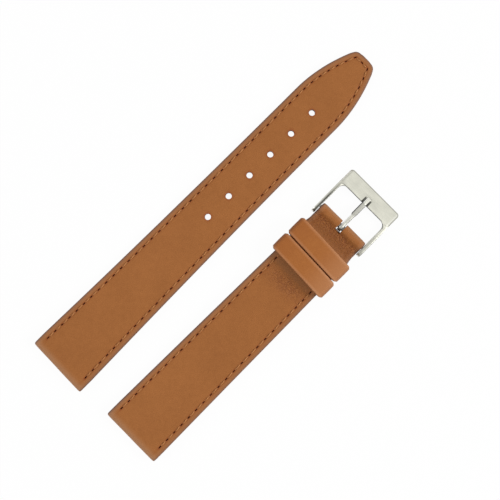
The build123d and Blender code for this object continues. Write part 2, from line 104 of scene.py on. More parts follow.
def bell(distance, width):
    """1 at no distance, falling off to nothing over a few widths."""
    return math.exp(-((distance / width) ** 2))


def segment_at(path, u):
    """The two entries of a path, sorted by their first value, that u lies between or nearest to."""
    i = min(max(bisect.bisect_right(path, (u, math.inf)) - 1, 0), len(path) - 2)
    return path[i], path[i + 1]


def on_path(path, u):
    """The point of a side view at the distance u along its path: how far along the strap, and how high."""
    (before, here), (after, there) = segment_at(path, u)
    return here + (there - here) * ((u - before) / (after - before))


def outward(path, u):
    """The way that the leather's grain side looks at the distance u along its path."""
    run = on_path(path, u + 0.03) - on_path(path, u - 0.03)
    return Vector((-run.y, run.x)).normalized()


def walk(points, start):
    """A path from a list of points, with the distance walked from the first one."""
    path = [(start, Vector(points[0]))]
    for here, there in zip(points, points[1:]):
        path.append((path[-1][0] + (Vector(there) - Vector(here)).length, Vector(there)))
    return path


def arc_points(centre, radius, start, end, count):
    """Points on an arc of the side view, with angles in degrees and its first point left out."""
    turns = [math.radians(start + (end - start) * i / count) for i in range(1, count + 1)]
    return [(centre[0] + radius * math.cos(t), centre[1] + radius * math.sin(t)) for t in turns]


def tip_end(y):
    """How far along the strap its end is: it bulges a little between the two rounded corners."""
    bulge = tip_bulge * (1 - smooth_step(0.4 * tip_reach, tip_reach, y))
    return tip_corner_centre[0] + tip_corner_radius + bulge


tip_run = [0.5 * i for i in range(35)]
tip_side = [(tip_start + t, tip_half_width - tip_narrowing * t**tip_power) for t in tip_run]
tip_side += arc_points(tip_corner_centre, tip_corner_radius, 67, 0, 14)
tip_outline = tip_side + [(tip_end(y), y) for y in (1.8, 1.6, 1.4, 1.2, 1.0, 0.8, 0.4, 0.0)]
tip_outline = [Vector(point) for point in tip_outline]


def long_half_width(s):
    """Half the strap's width: a smooth curve through three widths, and then the rounded tip."""
    if s < lining_start:
        return widest
    if s <= tip_start:
        return sum(
            half * math.prod((s - other) / (place - other) for other, _ in long_half_widths if other != place)
            for place, half in long_half_widths
        )
    (before, wide), (after, narrow) = segment_at(tip_side, s)
    return wide + (narrow - wide) * (min(s, after) - before) / (after - before)


def long_edge_distance(s, y):
    """How far a place on the strap lies inside its painted edge. The folded watch end isn't an edge."""
    if s <= tip_start:
        return max(long_half_width(s) - abs(y), 0.0)
    place, nearest = Vector((s, abs(y))), math.inf
    for here, there in zip(tip_outline, tip_outline[1:]):
        run = there - here
        share = min(max((place - here).dot(run) / run.length_squared, 0.0), 1.0)
        nearest = min(nearest, (here + run * share - place).length)
    return nearest


def width_slope(half_width, s):
    """How fast a strap widens at a place along it."""
    return (half_width(s) - half_width(s - 0.5)) / 0.5


def seam_places(half_width, first, last):
    """Needle places on one side, on a line inside the edge: along, across, and the seam's turn. The stitches
    are a little shorter at both ends, where the sewer slows down."""
    steps = 400
    line = []
    for i in range(steps + 1):
        s = first + (last - first) * i / steps
        line.append(Vector((s, half_width(s) - seam_inset * math.hypot(1, width_slope(half_width, s)))))
    path = walk(line, 0.0)
    stitches = round(path[-1][0] / stitch_length)
    places = []
    for i in range(stitches + 1):
        share = i / stitches
        along = path[-1][0] * (share - 0.05 * math.sin(2 * math.pi * share) / (2 * math.pi))
        here, ahead = on_path(path, along), on_path(path, along + 0.1)
        places.append((here.x, here.y, math.atan2(ahead.y - here.y, ahead.x - here.x)))
    return places


def strap_frame(node, half_width, edge_distance):
    """Where a strap lies in the frame, in millimetres, with its outline."""
    low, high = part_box(node)
    return SimpleNamespace(
        start=low.x / mm, middle=(low.y + high.y) / 2 / mm, half_width=half_width, edge_distance=edge_distance
    )


long_strap = strap_frame("long_face_leather", long_half_width, long_edge_distance)
long_needle_places = seam_places(long_half_width, 4.1, last_corner_hole)


def line_places(strap, s, edge_lines, between, middle_lines):
    """Where the lines that run along the strap lie across it, from one edge to the other."""
    half = strap.half_width(s)
    slope = width_slope(strap.half_width, s)
    band = min(math.sqrt(1 + min(slope * slope, 0.7)), 0.5 * half / seam_inset)
    sides = [half - inset * band for inset in edge_lines]
    narrowing = min(1.0, 0.22 * half / middle_lines[0])
    middles = [place * narrowing for place in middle_lines]
    gap = (sides[-1] - middles[0]) / (between + 1)
    inner = [sides[-1] - gap * (i + 1) for i in range(between)]
    one_side = sides + inner + middles
    return one_side + [0.0] + [-y for y in reversed(one_side)]


def skewed(share, s, y):
    """How far a place near the watch end moves along the strap, because that end was cut a little askew."""
    return share * y * (1 - smooth_step(nose_radius, skew_end, s))


def round_block(moved, gone, row, line, reach, spread, place):
    """Cuts a block of cells out of a sheet and brings its border onto the curve that place gives by angle."""
    for a in range(-reach, reach):
        for b in range(-spread, spread):
            gone.add((row + a, line + b))
    for a in range(-reach, reach + 1):
        for b in range(-spread, spread + 1):
            x, y = a / reach, -b / spread
            if max(abs(x), abs(y)) == 1:
                if abs(x) == 1:
                    turn = math.pi / 4 * y if x > 0 else math.pi - math.pi / 4 * y
                else:
                    turn = math.pi / 2 - math.pi / 4 * x if y > 0 else -math.pi / 2 + math.pi / 4 * x
                moved[row + a, line + b] = place(turn)


def slit_curve(s, y, turn, across):
    """The outline of the slit that the needle cuts at a place, turned with the seam."""
    long_way, short_way = slit_half_length, slit_half_width
    if across:
        long_way, short_way = short_way, long_way

    def place(angle):
        along, aside = long_way * math.cos(angle), short_way * math.sin(angle)
        return (
            s + along * math.cos(turn) - aside * math.sin(turn),
            y + along * math.sin(turn) + aside * math.cos(turn),
        )

    return place


def cut_plan(middle_line, seam_line, slits=(), punched=(), slots=()):
    """The cells that are cut out of a sheet, where the rims of the cuts go, and how dark the rims look: raw
    leather, deepened as painted shade of the hole.
    """
    moved, gone, rims = {}, set(), {}

    def cut(cells, raw_and_shaded, *block):
        before = set(moved)
        round_block(moved, cells, *block)
        rims.update(dict.fromkeys(set(moved) - before, raw_and_shaded))

    for row, (s, y, turn), across in slits:
        reach, spread = (1, 2) if across else (2, 1)
        for side in (1, -1) if y > 0.1 else (1,):
            line = middle_line if y < 0.1 else middle_line + side * (seam_line - middle_line)
            cut(gone, 0.5, row, line, reach, spread, slit_curve(s, y * side, turn * side, across))
    for row, s in punched:
        for ring, radius, cells, raw_and_shaded in (
            (4, tang_hole_radius + tang_hole_lip, set(), 0.3), (3, tang_hole_radius, gone, 0.5),
        ):
            cut(
                cells, raw_and_shaded, row, middle_line, ring, ring,
                lambda turn: (s + radius * math.cos(turn), radius * math.sin(turn)),
            )
    for first, last, low, high in slots:
        gone |= {(i, j) for i in range(first, last) for j in range(low, high)}
    return moved, gone, rims


def edge_colours(s, y, inset):
    """The shares of edge paint, of the seam's dark line and of a paler colour at a place on a face, with
    painted shade and a painted highlight among them.
    """
    ragged = inset + 0.05 * noise.noise(Vector((s, y, 7.0)))
    paint_and_shade = 0.68 * (1 - smooth_step(0.12, 0.5, ragged)) + 0.3 * (1 - smooth_step(0.1, 1.4, ragged))
    # The seam's dark line: painted shade of the groove the thread lies in, partly leather pressed darker.
    seam_and_shade = bell(inset - seam_inset - 0.06, 0.36)
    # The folded watch end is made paler: a painted highlight on its rounded nose.
    rubbed_and_lit = 0.8 * (1 - smooth_step(0.2, 2.6, s + 0.15 * noise.noise(Vector((y, 1.0, 2.0)))))
    rubbed_and_lit += (0.24 if y > 0 else 0.14) * smooth_step(0.15, 0.5, inset) * (1 - smooth_step(1.0, 1.4, inset))
    # The -Y edge takes less of the dark paint than the +Y edge: painted shade on the +Y side.
    return paint_and_shade * (1.0 if y > 0 else 0.82), seam_and_shade, rubbed_and_lit


def leather_sheet(
    strap, outer, inner, rows, press, edge_lines, between, middle_lines,
    side=1, skew=0.0, worn_and_lit=lambda s, z: 0.0, **cuts,
):
    """A closed sheet of leather. Its grain side follows the outer path, and its other side the inner path.
    Each row has two distances along the outer path, one beside the seams and one in the strap's middle, and
    how far from the middle they have become one."""
    lines = 2 * (len(edge_lines) + between + len(middle_lines)) + 1
    seam_line = edge_lines.index(seam_inset) if seam_inset in edge_lines else None
    moved, gone, rims = cut_plan(lines // 2, seam_line, **cuts)
    bm = bmesh.new()
    bmesh.ops.create_grid(bm, x_segments=len(rows) - 1, y_segments=lines - 1, size=1)
    row_of = bm.verts.layers.int.new("row")
    line_of = bm.verts.layers.int.new("line")
    finish = bm.verts.layers.float_color.new("finish")
    rub_and_light = bm.verts.layers.float.new("rub_and_light")
    for v in bm.verts:
        v[row_of] = round((v.co.x + 1) / 2 * (len(rows) - 1))
        v[line_of] = round((1 - v.co.y) / 2 * (lines - 1))
    cut = [f for f in bm.faces if (min(v[row_of] for v in f.verts), min(v[line_of] for v in f.verts)) in gone]
    bmesh.ops.delete(bm, geom=cut, context="FACES")

    across = [line_places(strap, on_path(outer, u).x, edge_lines, between, middle_lines) for u, _, _ in rows]
    under = {}
    for v in bm.verts:
        cell = v[row_of], v[line_of]
        beside, amid, reach = rows[cell[0]]
        y = across[cell[0]][cell[1]]
        u = beside + (amid - beside) * (1 - smooth_step(0.4 * reach, reach, abs(y)))
        u, y = moved.get(cell, (u, y))
        here, back = on_path(outer, u), on_path(inner, u)
        if cell in moved:
            back.x = here.x
        inset = strap.edge_distance(here.x, y)
        down, crush_and_shade = press(u, here.x, y, inset)
        here -= outward(outer, u) * side * down
        v.co = (strap.start + here.x + skewed(skew, here.x, y), strap.middle + y, here.y)
        under[cell] = Vector((strap.start + back.x, strap.middle + y, back.y))
        paint_and_shade, seam_and_shade, rubbed_and_lit = edge_colours(here.x, y, inset)
        v[finish] = (paint_and_shade, seam_and_shade, rims.get(cell, 0.0), crush_and_shade)
        v[rub_and_light] = rubbed_and_lit + worn_and_lit(here.x, here.y)
    new = bmesh.ops.extrude_face_region(bm, geom=bm.faces[:])["geom"]
    for v in new:
        if isinstance(v, bmesh.types.BMVert):
            cell = v[row_of], v[line_of]
            v.co = under[cell]
            # Slit and hole walls take the full dark hole colour: raw leather darkened further as painted
            # shade.
            v[finish] = (v[finish][0], 0.0, 1.2 if rims.get(cell, 0.0) > 0.4 else 0.0, 0.0)
            v[rub_and_light] = 0.0
    return bm


def as_object(bm, name, material):
    """Turns a mesh into an object of the scene, with its material."""
    mesh = bpy.data.meshes.new(name)
    bm.to_mesh(mesh)
    bm.free()
    mesh.materials.append(material)
    made = bpy.data.objects.new(name, mesh)
    bpy.context.scene.collection.objects.link(made)
    return made


def finished(bm, name, body, material, nodes, crease=50.0):
    """Makes a mesh an object of its own, in metres, which rides on its body and stands for its nodes."""
    bmesh.ops.recalc_face_normals(bm, faces=bm.faces[:])
    for face in bm.faces:
        face.smooth = True
    for edge in bm.edges:
        if len(edge.link_faces) == 2 and edge.calc_face_angle() > math.radians(crease):
            edge.smooth = False
    bmesh.ops.scale(bm, vec=(mm, mm, mm), verts=bm.verts[:])
    piece = as_object(bm, name, material)
    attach(piece, body)
    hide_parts(*nodes)
    return piece


class Nodes:
    """A node tree, with a short way to add each kind of node that the finishes share."""

    def __init__(self, tree):
        self.tree = tree

    def add(self, kind, sockets=None, **settings):
        """A node with its settings, and its sockets filled with values or linked to other nodes."""
        made = self.tree.nodes.new(f"ShaderNode{kind}")
        for name, value in settings.items():
            setattr(made, name, value)
        for name, value in (sockets or {}).items():
            if isinstance(value, bpy.types.NodeSocket):
                self.tree.links.new(value, made.inputs[name])
            else:
                made.inputs[name].default_value = value
        return made

    def math(self, operation, *values):
        return self.add("Math", dict(enumerate(values)), operation=operation).outputs[0]

    def noise(self, place, scale, detail):
        return self.add("TexNoise", {"Vector": place, "Scale": scale, "Detail": detail})

    def cells(self, place, scale, feature):
        """The distance to the middle or to the edge of the cell that a place lies in."""
        return self.add("TexVoronoi", {"Vector": place, "Scale": scale}, feature=feature).outputs["Distance"]

    def ranged(self, value, low, high, to_low=0.0, to_high=1.0, ease="LINEAR"):
        """A value stretched from one range to another, and held inside it."""
        sockets = {"Value": value, "From Min": low, "From Max": high, "To Min": to_low, "To Max": to_high}
        return self.add("MapRange", sockets, interpolation_type=ease).outputs[0]

    def mix(self, share, first, second, blend_type="MIX"):
        """The first colour, with a share of the second."""
        first, second = (c if isinstance(c, bpy.types.NodeSocket) else (*c, 1) for c in (first, second))
        sockets = {0: share, 6: first, 7: second}
        return self.add("Mix", sockets, data_type="RGBA", blend_type=blend_type).outputs[2]

    def tint(self, colour, share, deep, tone):
        """Darkens a colour by the tone where the share is up to one."""
        return self.mix(self.math("MULTIPLY", share, deep), colour, tone, "MULTIPLY")

    def attribute(self, name):
        return self.add("Attribute", attribute_name=name)

    def place(self, kind="Object"):
        return self.add("TexCoord").outputs[kind]

    def stretched(self, place, scale):
        return self.add("Mapping", {"Vector": place, "Scale": scale}).outputs[0]


def new_material(name):
    """A material with its nodes, and the sockets of its surface."""
    material = bpy.data.materials.new(name)
    material.use_nodes = True
    nodes = Nodes(material.node_tree)
    return material, nodes, nodes.tree.nodes["Principled BSDF"].inputs


def finish_with(nodes, surface, colour, height, strength, depth):
    """Gives a surface its colour and its bumps."""
    nodes.tree.links.new(colour, surface["Base Color"])
    bump = nodes.add("Bump", {"Height": height, "Strength": strength, "Distance": depth})
    nodes.tree.links.new(bump.outputs[0], surface["Normal"])


def leather(
    name, dark, light, paint_and_shade, relief, rough,
    grain=0.42, rubbed_and_lit=None, crease_tone=0.14, seam_shade_tone=0.3, gloss=0.2, sheen=0.0,
):
    """Leather with blotches, pores and fine creases. The finish attribute gives it painted edges, a seam
    line, raw hole walls and a coarser grain where it was pressed, each darkened partly as painted shade, and
    a second attribute pales it, partly as wear and partly as painted highlight."""
    material, nodes, surface = new_material(name)
    place = nodes.stretched(nodes.place(), (1 / mm, 1 / mm, 1 / mm))
    blotch = nodes.noise(place, 0.11, 3.0).outputs[0]
    cloud = nodes.noise(place, 0.75, 4.0).outputs[0]
    bend = nodes.noise(place, 1.6, 2.0).outputs["Color"]
    bent = {0: bend, 1: (0.5, 0.5, 0.5), 2: place}
    bent = nodes.add("VectorMath", bent, operation="MULTIPLY_ADD").outputs[0]
    crease = nodes.cells(bent, 1 / grain, "DISTANCE_TO_EDGE")
    crease = nodes.ranged(crease, 0.0, 0.28, ease="SMOOTHSTEP")
    pore = nodes.ranged(nodes.cells(place, 1.9, "F1"), 0.03, 0.16, ease="SMOOTHSTEP")
    fibre = nodes.noise(place, 6.0, 3.0).outputs[0]
    wrinkle = nodes.noise(nodes.stretched(bent, (1.5, 0.85, 1.5)), 1.0, 2.5).outputs[0]
    wrinkle = nodes.math("ABSOLUTE", nodes.math("SUBTRACT", wrinkle, 0.5))
    wrinkle = nodes.ranged(wrinkle, 0.0, 0.09, 1.0, 0.0, "SMOOTHSTEP")

    finish = nodes.attribute("finish")
    shares = nodes.add("SeparateColor", {0: finish.outputs["Color"]}).outputs
    paint_and_shade_share, seam_and_shade_share, raw_and_shaded_hole = shares[0], shares[1], shares[2]
    crush_and_shade_share = finish.outputs["Alpha"]
    rub_and_light_share = nodes.attribute("rub_and_light").outputs["Fac"]
    gap = nodes.math("SUBTRACT", 1.0, crease)
    dot = nodes.math("SUBTRACT", 1.0, pore)
    mixed = nodes.math("MULTIPLY_ADD", cloud, 0.45, nodes.math("MULTIPLY", blotch, 0.55))
    crushed_and_shaded = nodes.math("MULTIPLY_ADD", gap, 0.35, nodes.math("MULTIPLY_ADD", wrinkle, 0.75, 0.1))
    crushed_and_shaded = nodes.math("MULTIPLY", crushed_and_shaded, crush_and_shade_share)

    colour = nodes.mix(nodes.ranged(mixed, 0.3, 0.7), dark, light)
    colour = nodes.tint(colour, gap, crease_tone, (0.42, 0.3, 0.24))
    colour = nodes.tint(colour, dot, 0.15, (0.4, 0.28, 0.2))
    # Darkens the seam's line, painted shade of its groove, and the keepers' +Y ends, painted shade.
    colour = nodes.tint(colour, seam_and_shade_share, seam_shade_tone, (0.82, 0.72, 0.68))
    # Crushed grain is darker: partly its own colour, partly painted shade beside the keepers and in the
    # buckle's fold.
    colour = nodes.tint(colour, crushed_and_shaded, 0.8, (0.62, 0.5, 0.5))
    # Pales the colour: partly wear, partly painted highlight and painted light.
    colour = nodes.mix(rub_and_light_share, colour, rubbed_and_lit or light)
    # Edge paint, with painted shade where one side takes more of it.
    colour = nodes.mix(paint_and_shade_share, colour, paint_and_shade)
    # Darkens raw hole walls and slit rims, most of it painted shade of the hole.
    colour = nodes.tint(colour, raw_and_shaded_hole, 1.0, (0.6, 0.12, 0.02))

    height = nodes.math("MULTIPLY", crease, 0.55)
    height = nodes.math("MULTIPLY_ADD", nodes.math("MULTIPLY", wrinkle, crush_and_shade_share), -1.2, height)
    for bumps, share in ((pore, 0.35), (fibre, 0.3), (cloud, 0.8)):
        height = nodes.math("MULTIPLY_ADD", bumps, share, height)
    strength = nodes.math("MULTIPLY_ADD", crush_and_shade_share, 0.6, relief)
    finish_with(nodes, surface, colour, height, strength, 0.06 * mm)
    dull = nodes.ranged(cloud, 0.3, 0.7, rough - 0.07, rough + 0.08)
    nodes.tree.links.new(dull, surface["Roughness"])
    surface["Specular IOR Level"].default_value = gloss
    surface["Sheen Weight"].default_value = sheen
    surface["Sheen Roughness"].default_value = 0.45
    return material


def run_heights(places, heights):
    """A side view's path on straight runs, in which the distance is how far along the strap it is."""
    return [(s, Vector((s, z))) for s, z in zip(places, heights)]


def hole_path(centre, radius, opening, first, last, steps=32):
    """The wall of a round hole in a fold, from one side of the glued seam round to the other. The opening is
    the seam's way in degrees, and the distances on the leather's outer path run from first to last."""
    seam_half = 2
    path = []
    for i in range(1, steps + 1):
        angle = math.radians(opening - seam_half - (360 - 2 * seam_half) * i / steps)
        point = (centre[0] + radius * math.cos(angle), centre[1] + radius * math.sin(angle))
        path.append((first + (last - first) * i / steps, point))
    return path


flap_top = lining_thickness + flap_thickness
nose_length = math.pi * nose_radius
step_place = nose_radius - nose_length - (lining_start - nose_radius)
seam_gap = 0.02
edge_radius = 0.38
edge_slope_depth, edge_slope_width = 0.1, 1.5
groove_depth, groove_width = 0.06, 0.32
stitch_pull_depth, stitch_pull_width = 0.07, 0.6
wave_depth = 0.035


def nose_paths(top, top_end):
    """The grain side and the flesh side of a face leather that is folded round the watch's bar."""
    centre = (nose_radius, nose_radius)
    outside = [(flap_end, lining_thickness), (lining_start, lining_thickness), (lining_start, 0.0)]
    outside += [(nose_radius, 0.0), *arc_points(centre, nose_radius, 270, 90, 24)]
    outside = walk(outside, 0.0)
    outside = [(u - outside[-1][0] + nose_radius, point) for u, point in outside]
    flap_u, rise_u, foot_u = (u for u, _ in outside[:3])
    meeting = nose_radius + bar_hole_radius + seam_gap
    back = [
        (flap_u, (flap_end, flap_top)),
        (rise_u - 0.4, (glued_length, flap_top)),
        (rise_u, (glued_length - 0.04, nose_radius - 0.03)),
        (foot_u, (glued_length - 0.1, nose_radius - 0.02)),
        (foot_u + 0.5, (meeting, nose_radius - 0.01)),
        *hole_path(centre, bar_hole_radius, 0, foot_u + 0.5, 3.5),
        (glued_length - 0.25, (glued_length - 0.04, nose_radius + 0.03)),
        (glued_length, (glued_length, on_path(top, glued_length).y - face_thickness)),
    ]
    back = [(u, Vector(point)) for u, point in back]
    outside += [(u, point) for u, point in top if u > nose_radius]
    glued_on = [(u, point) for u, point in top if glued_length < u <= top_end]
    back += [(u, Vector((point.x, point.y - face_thickness))) for u, point in glued_on]
    return outside, back


def nose_rows():
    """Rows over the folded watch end, close together at the step behind the lining, up to the first slits."""
    steps = (-5.6, -4.2, -2.8, -1.5, -0.66, -0.57, -0.3, -0.04, 0.04, 0.5, 1.0, 1.5, 2.0)
    rows = [step_place + step for step in steps]
    rows += [nose_radius - nose_length * (18 - i) / 18 for i in range(19)]
    return rows + [2.1, 2.6, 3.0]


def seam_rows(places):
    """Rows between the needle places, evenly spaced within each stitch, with two rows before the first."""
    along = [place[0] for place in places]
    cell = (along[1] - along[0]) / rows_per_stitch
    rows = [along[0] - 2 * cell, along[0] - cell]
    for here, there in zip(along, along[1:]):
        rows += [here + (there - here) * i / rows_per_stitch for i in range(rows_per_stitch)]
    return rows + [along[-1]]


def seam_slits(places):
    """The slits at the needle places, each with its row on the sheet."""
    return [(2 + rows_per_stitch * i, place, False) for i, place in enumerate(places)]


def edge_roll(inset, radius):
    """How far the grain side has come down at a distance inside the rounded edge."""
    return radius - math.sqrt(max(radius**2 - (radius - min(inset, radius)) ** 2, 0.0))


def face_press(needle_places, fold_start, fold_end, stain=lambda s, y: 0.0):
    """How far a face leather is pressed in: its edges, the groove of each seam, the pull of each stitch."""

    def press(u, s, y, inset):
        if u < fold_start or u > fold_end:
            return 0.0, 0.0
        down = edge_roll(inset, edge_radius)
        down += edge_slope_depth * max(0.0, 1 - inset / edge_slope_width) ** 2
        if 3.0 < s <= needle_places[-1][0] + 0.6:
            down += groove_depth * bell(inset - seam_inset, groove_width)
            if abs(inset - seam_inset) < 2 * stitch_pull_width:
                i = bisect.bisect_left(needle_places, (s,))
                near = needle_places[max(i - 1, 0): i + 1]
                reach = min(math.hypot(s - p[0], abs(y) - p[1]) for p in near)
                down += stitch_pull_depth * bell(reach, stitch_pull_width)
        down += wave_depth * noise.noise(Vector((s / 7.0, y / 5.0, 3.0)))
        return down, stain(s, y)

    return press


edge_paint = (0.19, 0.1, 0.07)
face_leather = leather(
    "tan_calf_face", dark=(0.335, 0.12, 0.03), light=(0.392, 0.144, 0.038), paint_and_shade=edge_paint,
    relief=0.32, rough=0.5, rubbed_and_lit=(0.43, 0.215, 0.105),
)

long_top = run_heights(
    [0.0, nose_radius, thin_from, long_length], [lug_end_height, lug_end_height, thin_height, thin_height]
)
long_outside, long_back = nose_paths(long_top, long_length)
tip_steps = [0.25, 0.5, 0.72, 0.92, 1.1, 1.26, 1.4, 1.5, 1.58, 1.65, 1.7, 1.74, 1.77, 1.787, 1.797, 1.8]
long_top_rows = seam_rows(long_needle_places) + [last_corner_hole + step for step in tip_steps]
middle_reach = 4.0


def nearest_row(rows, s):
    """The number of the row that lies nearest to a place."""
    return min(range(len(rows)), key=lambda i: abs(rows[i] - s))


def with_middles(rows, holes_before=20, holes_after=12, tip_before=30):
    """Rows with their places in the strap's middle, where they make an even block round each tang hole and
    reach the stitch at the tip. The rows between are spread evenly."""
    holes = [(nearest_row(rows, s), s) for s in tang_hole_places]
    fixed = [(row + a, s + tang_hole_cell * a) for row, s in holes for a in range(-5, 6)]
    first, last = fixed[0][0] - holes_before, fixed[-1][0] + holes_after
    corner_row = rows.index(last_corner_hole + tip_steps[0]) - 1
    tip_row = corner_row - tip_before
    fixed = [(first, rows[first]), *fixed, (last, rows[last]), (tip_row, rows[tip_row])]
    fixed += [(corner_row, tip_hole_place), (len(rows) - 1, long_length)]
    placed = []
    for i, s in enumerate(rows):
        inside = s
        if i > first and not last <= i <= tip_row:
            k = min(bisect.bisect_right([f[0] for f in fixed], i), len(fixed) - 1) - 1
            (before, here), (after, there) = fixed[k], fixed[k + 1]
            inside = here + (there - here) * (i - before) / (after - before)
        placed.append((s, inside, middle_reach if i < tip_row else tip_reach))
    return placed, holes


def even(rows):
    """Rows that run straight across the strap."""
    return [(u, u, middle_reach) for u in rows]


def shifted(cuts, rows_before):
    """The same slits or holes, counted from rows that come earlier on the sheet."""
    return [(cut[0] + rows_before, *cut[1:]) for cut in cuts]


def bar_mark(s, y):
    """A faint dark mark, where the watch's bar has pressed the fold out."""
    return 0.16 * bell(math.hypot((s - 3.0) / 1.6, (y - 0.6) / 2.6), 1.0)


long_rows, long_holes = with_middles(long_top_rows)
long_nose_rows = even(nose_rows())
long_slits = seam_slits(long_needle_places)
long_slits.append((long_slits[-1][0], (tip_hole_place, 0.0, 0.0), True))
fine_edge_lines = [0, 0.05, 0.13, 0.24, 0.38, 0.6, 0.9, 1.2, 1.47, seam_inset, 1.83, 2.1, 2.45]
hole_lines = [tang_hole_cell * i for i in (5, 4, 3, 2, 1)]
long_face = leather_sheet(
    long_strap, long_outside, long_back, long_nose_rows + long_rows,
    face_press(long_needle_places, long_outside[2][0] + 0.02, long_length, bar_mark),
    fine_edge_lines, 6, hole_lines, skew=long_skew,
    slits=shifted(long_slits, len(long_nose_rows)), punched=shifted(long_holes, len(long_nose_rows)),
)
finished(long_face, "long_face", "long_strap", face_leather, ["long_face_leather"])

# Under the face, a board of bonded leather fibre fills the long strap and gives it its taper in thickness.
# A thin tape that doesn't stretch is glued under it, so that the tang holes stay round and evenly spaced.

coarse_edge_lines = [0, 0.06, 0.2, 1.1, 2.45]
hidden_inset = 0.03
tape_top = lining_thickness + stay_thickness


def flat_press(u, s, y, inset):
    """A hidden layer has square edges, a hair inside the painted ones."""
    return 0.0, 0.0


def inset_strap(strap, amount):
    """The same strap with its edges drawn in by an amount."""
    drawn = SimpleNamespace(**vars(strap))
    drawn.half_width = lambda s: strap.half_width(s) - amount
    drawn.edge_distance = lambda s, y: max(strap.edge_distance(s, y) - amount, 0.0)
    return drawn


def starting_at(rows, s, *cuts):
    """The rows from one place on, with their slits and holes counted from the new first row."""
    later = [row for row in rows if row[0] > s + 0.05]
    dropped = len(rows) - len(later)
    return [even([s]) + later, *(shifted(cut, 1 - dropped) for cut in cuts)]


board = leather(
    "fibre_board", dark=(0.2, 0.1, 0.05), light=(0.3, 0.16, 0.08), paint_and_shade=edge_paint,
    relief=0.5, rough=0.8, grain=0.25,
)
tape = leather(
    "stay_tape", dark=(0.55, 0.5, 0.42), light=(0.72, 0.68, 0.6), paint_and_shade=(0.11, 0.055, 0.035),
    relief=0.2, rough=0.8, grain=0.2,
)
hidden_long = inset_strap(long_strap, hidden_inset)
board_places = (glued_length, thin_from, long_length)
board_rows, board_holes = starting_at(long_rows, glued_length, long_holes)
long_board = leather_sheet(
    hidden_long, run_heights(board_places, [on_path(long_top, s).y - face_thickness for s in board_places]),
    run_heights(
        [glued_length, flap_end - 0.01, flap_end, long_length], [flap_top, flap_top, tape_top, tape_top]
    ),
    board_rows, flat_press, coarse_edge_lines, 2, hole_lines, punched=board_holes,
)
finished(long_board, "long_board", "long_strap", board, ["long_filler"])

tape_rows, tape_holes = starting_at(board_rows, flap_end, board_holes)
tape_places = (flap_end, long_length)
long_tape = leather_sheet(
    hidden_long, run_heights(tape_places, [tape_top] * 2), run_heights(tape_places, [lining_thickness] * 2),
    tape_rows, flat_press, coarse_edge_lines, 2, hole_lines, punched=tape_holes,
)
finished(long_tape, "long_tape", "long_strap", tape, ["long_stay"])

# The lining is a soft matt leather, 0.6 mm thick, which lies on the wrist. It is glued on from just behind
# the folded watch end, trimmed flush with the face and painted with it at the edges, and sewn through.

lining_edge_radius = 0.26
thread_bed_depth, thread_bed_width = 0.2, 0.26


def lining_press(needle_places):
    """How far the lining is pressed in: a small round at its edge, and a bed under each stitch."""

    def press(u, s, y, inset):
        down = edge_roll(inset, lining_edge_radius)
        if s < needle_places[-1][0] + 0.4:
            down += thread_bed_depth * bell(inset - seam_inset, thread_bed_width)
        return down + 0.012 * (1 + noise.noise(Vector((s / 6.0, y / 4.0, 9.0)))), 0.0

    return press


lining_leather = leather(
    "matt_lining", dark=(0.36, 0.17, 0.075), light=(0.5, 0.26, 0.125), paint_and_shade=edge_paint,
    relief=0.4, rough=0.72, grain=0.3, sheen=0.15, crease_tone=0.12, seam_shade_tone=0.2,
)
lining_rows, lining_slits, lining_holes = starting_at(long_rows, lining_start, long_slits[1:], long_holes)
lining_places = (lining_start, long_length)
long_lining = leather_sheet(
    long_strap, run_heights(lining_places, [0.0] * 2), run_heights(lining_places, [lining_thickness] * 2),
    lining_rows, lining_press(long_needle_places), fine_edge_lines, 6, hole_lines, side=-1,
    slits=lining_slits, punched=lining_holes,
)
finished(long_lining, "long_back", "long_strap", lining_leather, ["long_lining"])

# Both straps are sewn with a waxed, two-ply polyester thread, 0.42 mm thick, a shade lighter than the
# leather. The top thread dips into a slit at each end of every stitch and locks with the bottom thread
# inside the strap.

thread_radius = 0.21
thread_end_radius = 0.17
stitch_ends = [(0.36, -0.75), (0.42, -0.4), (0.56, -0.12), (0.95, 0.03)]
bottom_thread_height = 0.25


def sewing(strap, rows_of_places, height, side, seed, skew=0.0):
    """One row of stitches after another, each a short tube that sinks into its slits."""
    draw = random.Random(seed)
    bm = bmesh.new()
    bm.loops.layers.uv.new("UVMap")
    for places in rows_of_places:
        for here, there in zip(places, places[1:]):
            start, run = Vector(here), Vector(there) - Vector(here)
            length = run.length
            ahead = run / length
            aside = Vector((-ahead.y, ahead.x))
            tilt = draw.uniform(0.0, 0.1)
            lift = draw.uniform(-0.015, 0.03)
            stations = stitch_ends + [(length - s, sunk) for s, sunk in reversed(stitch_ends)]
            last = len(stations) - 1
            made = bmesh.ops.create_grid(bm, x_segments=last, y_segments=8, size=1, calc_uvs=True)["verts"]
            for v in made:
                ring = round((v.co.x + 1) / 2 * last)
                turn = math.pi * (v.co.y + 1)
                along, sunk = stations[ring]
                share = along / length - 0.5
                thick = thread_radius if 0 < ring < last else thread_end_radius
                place = start + ahead * along + aside * (tilt * share * 2 + thick * 1.04 * math.cos(turn))
                rise = sunk + lift + thick * 0.92 * math.sin(turn)
                place.x += skewed(skew, place.x, place.y)
                v.co = (strap.start + place.x, strap.middle + place.y, height(place.x) + side * rise)
    bmesh.ops.remove_doubles(bm, verts=bm.verts[:], dist=0.001)
    bmesh.ops.holes_fill(bm, edges=[e for e in bm.edges if e.is_boundary], sides=8)
    return bm


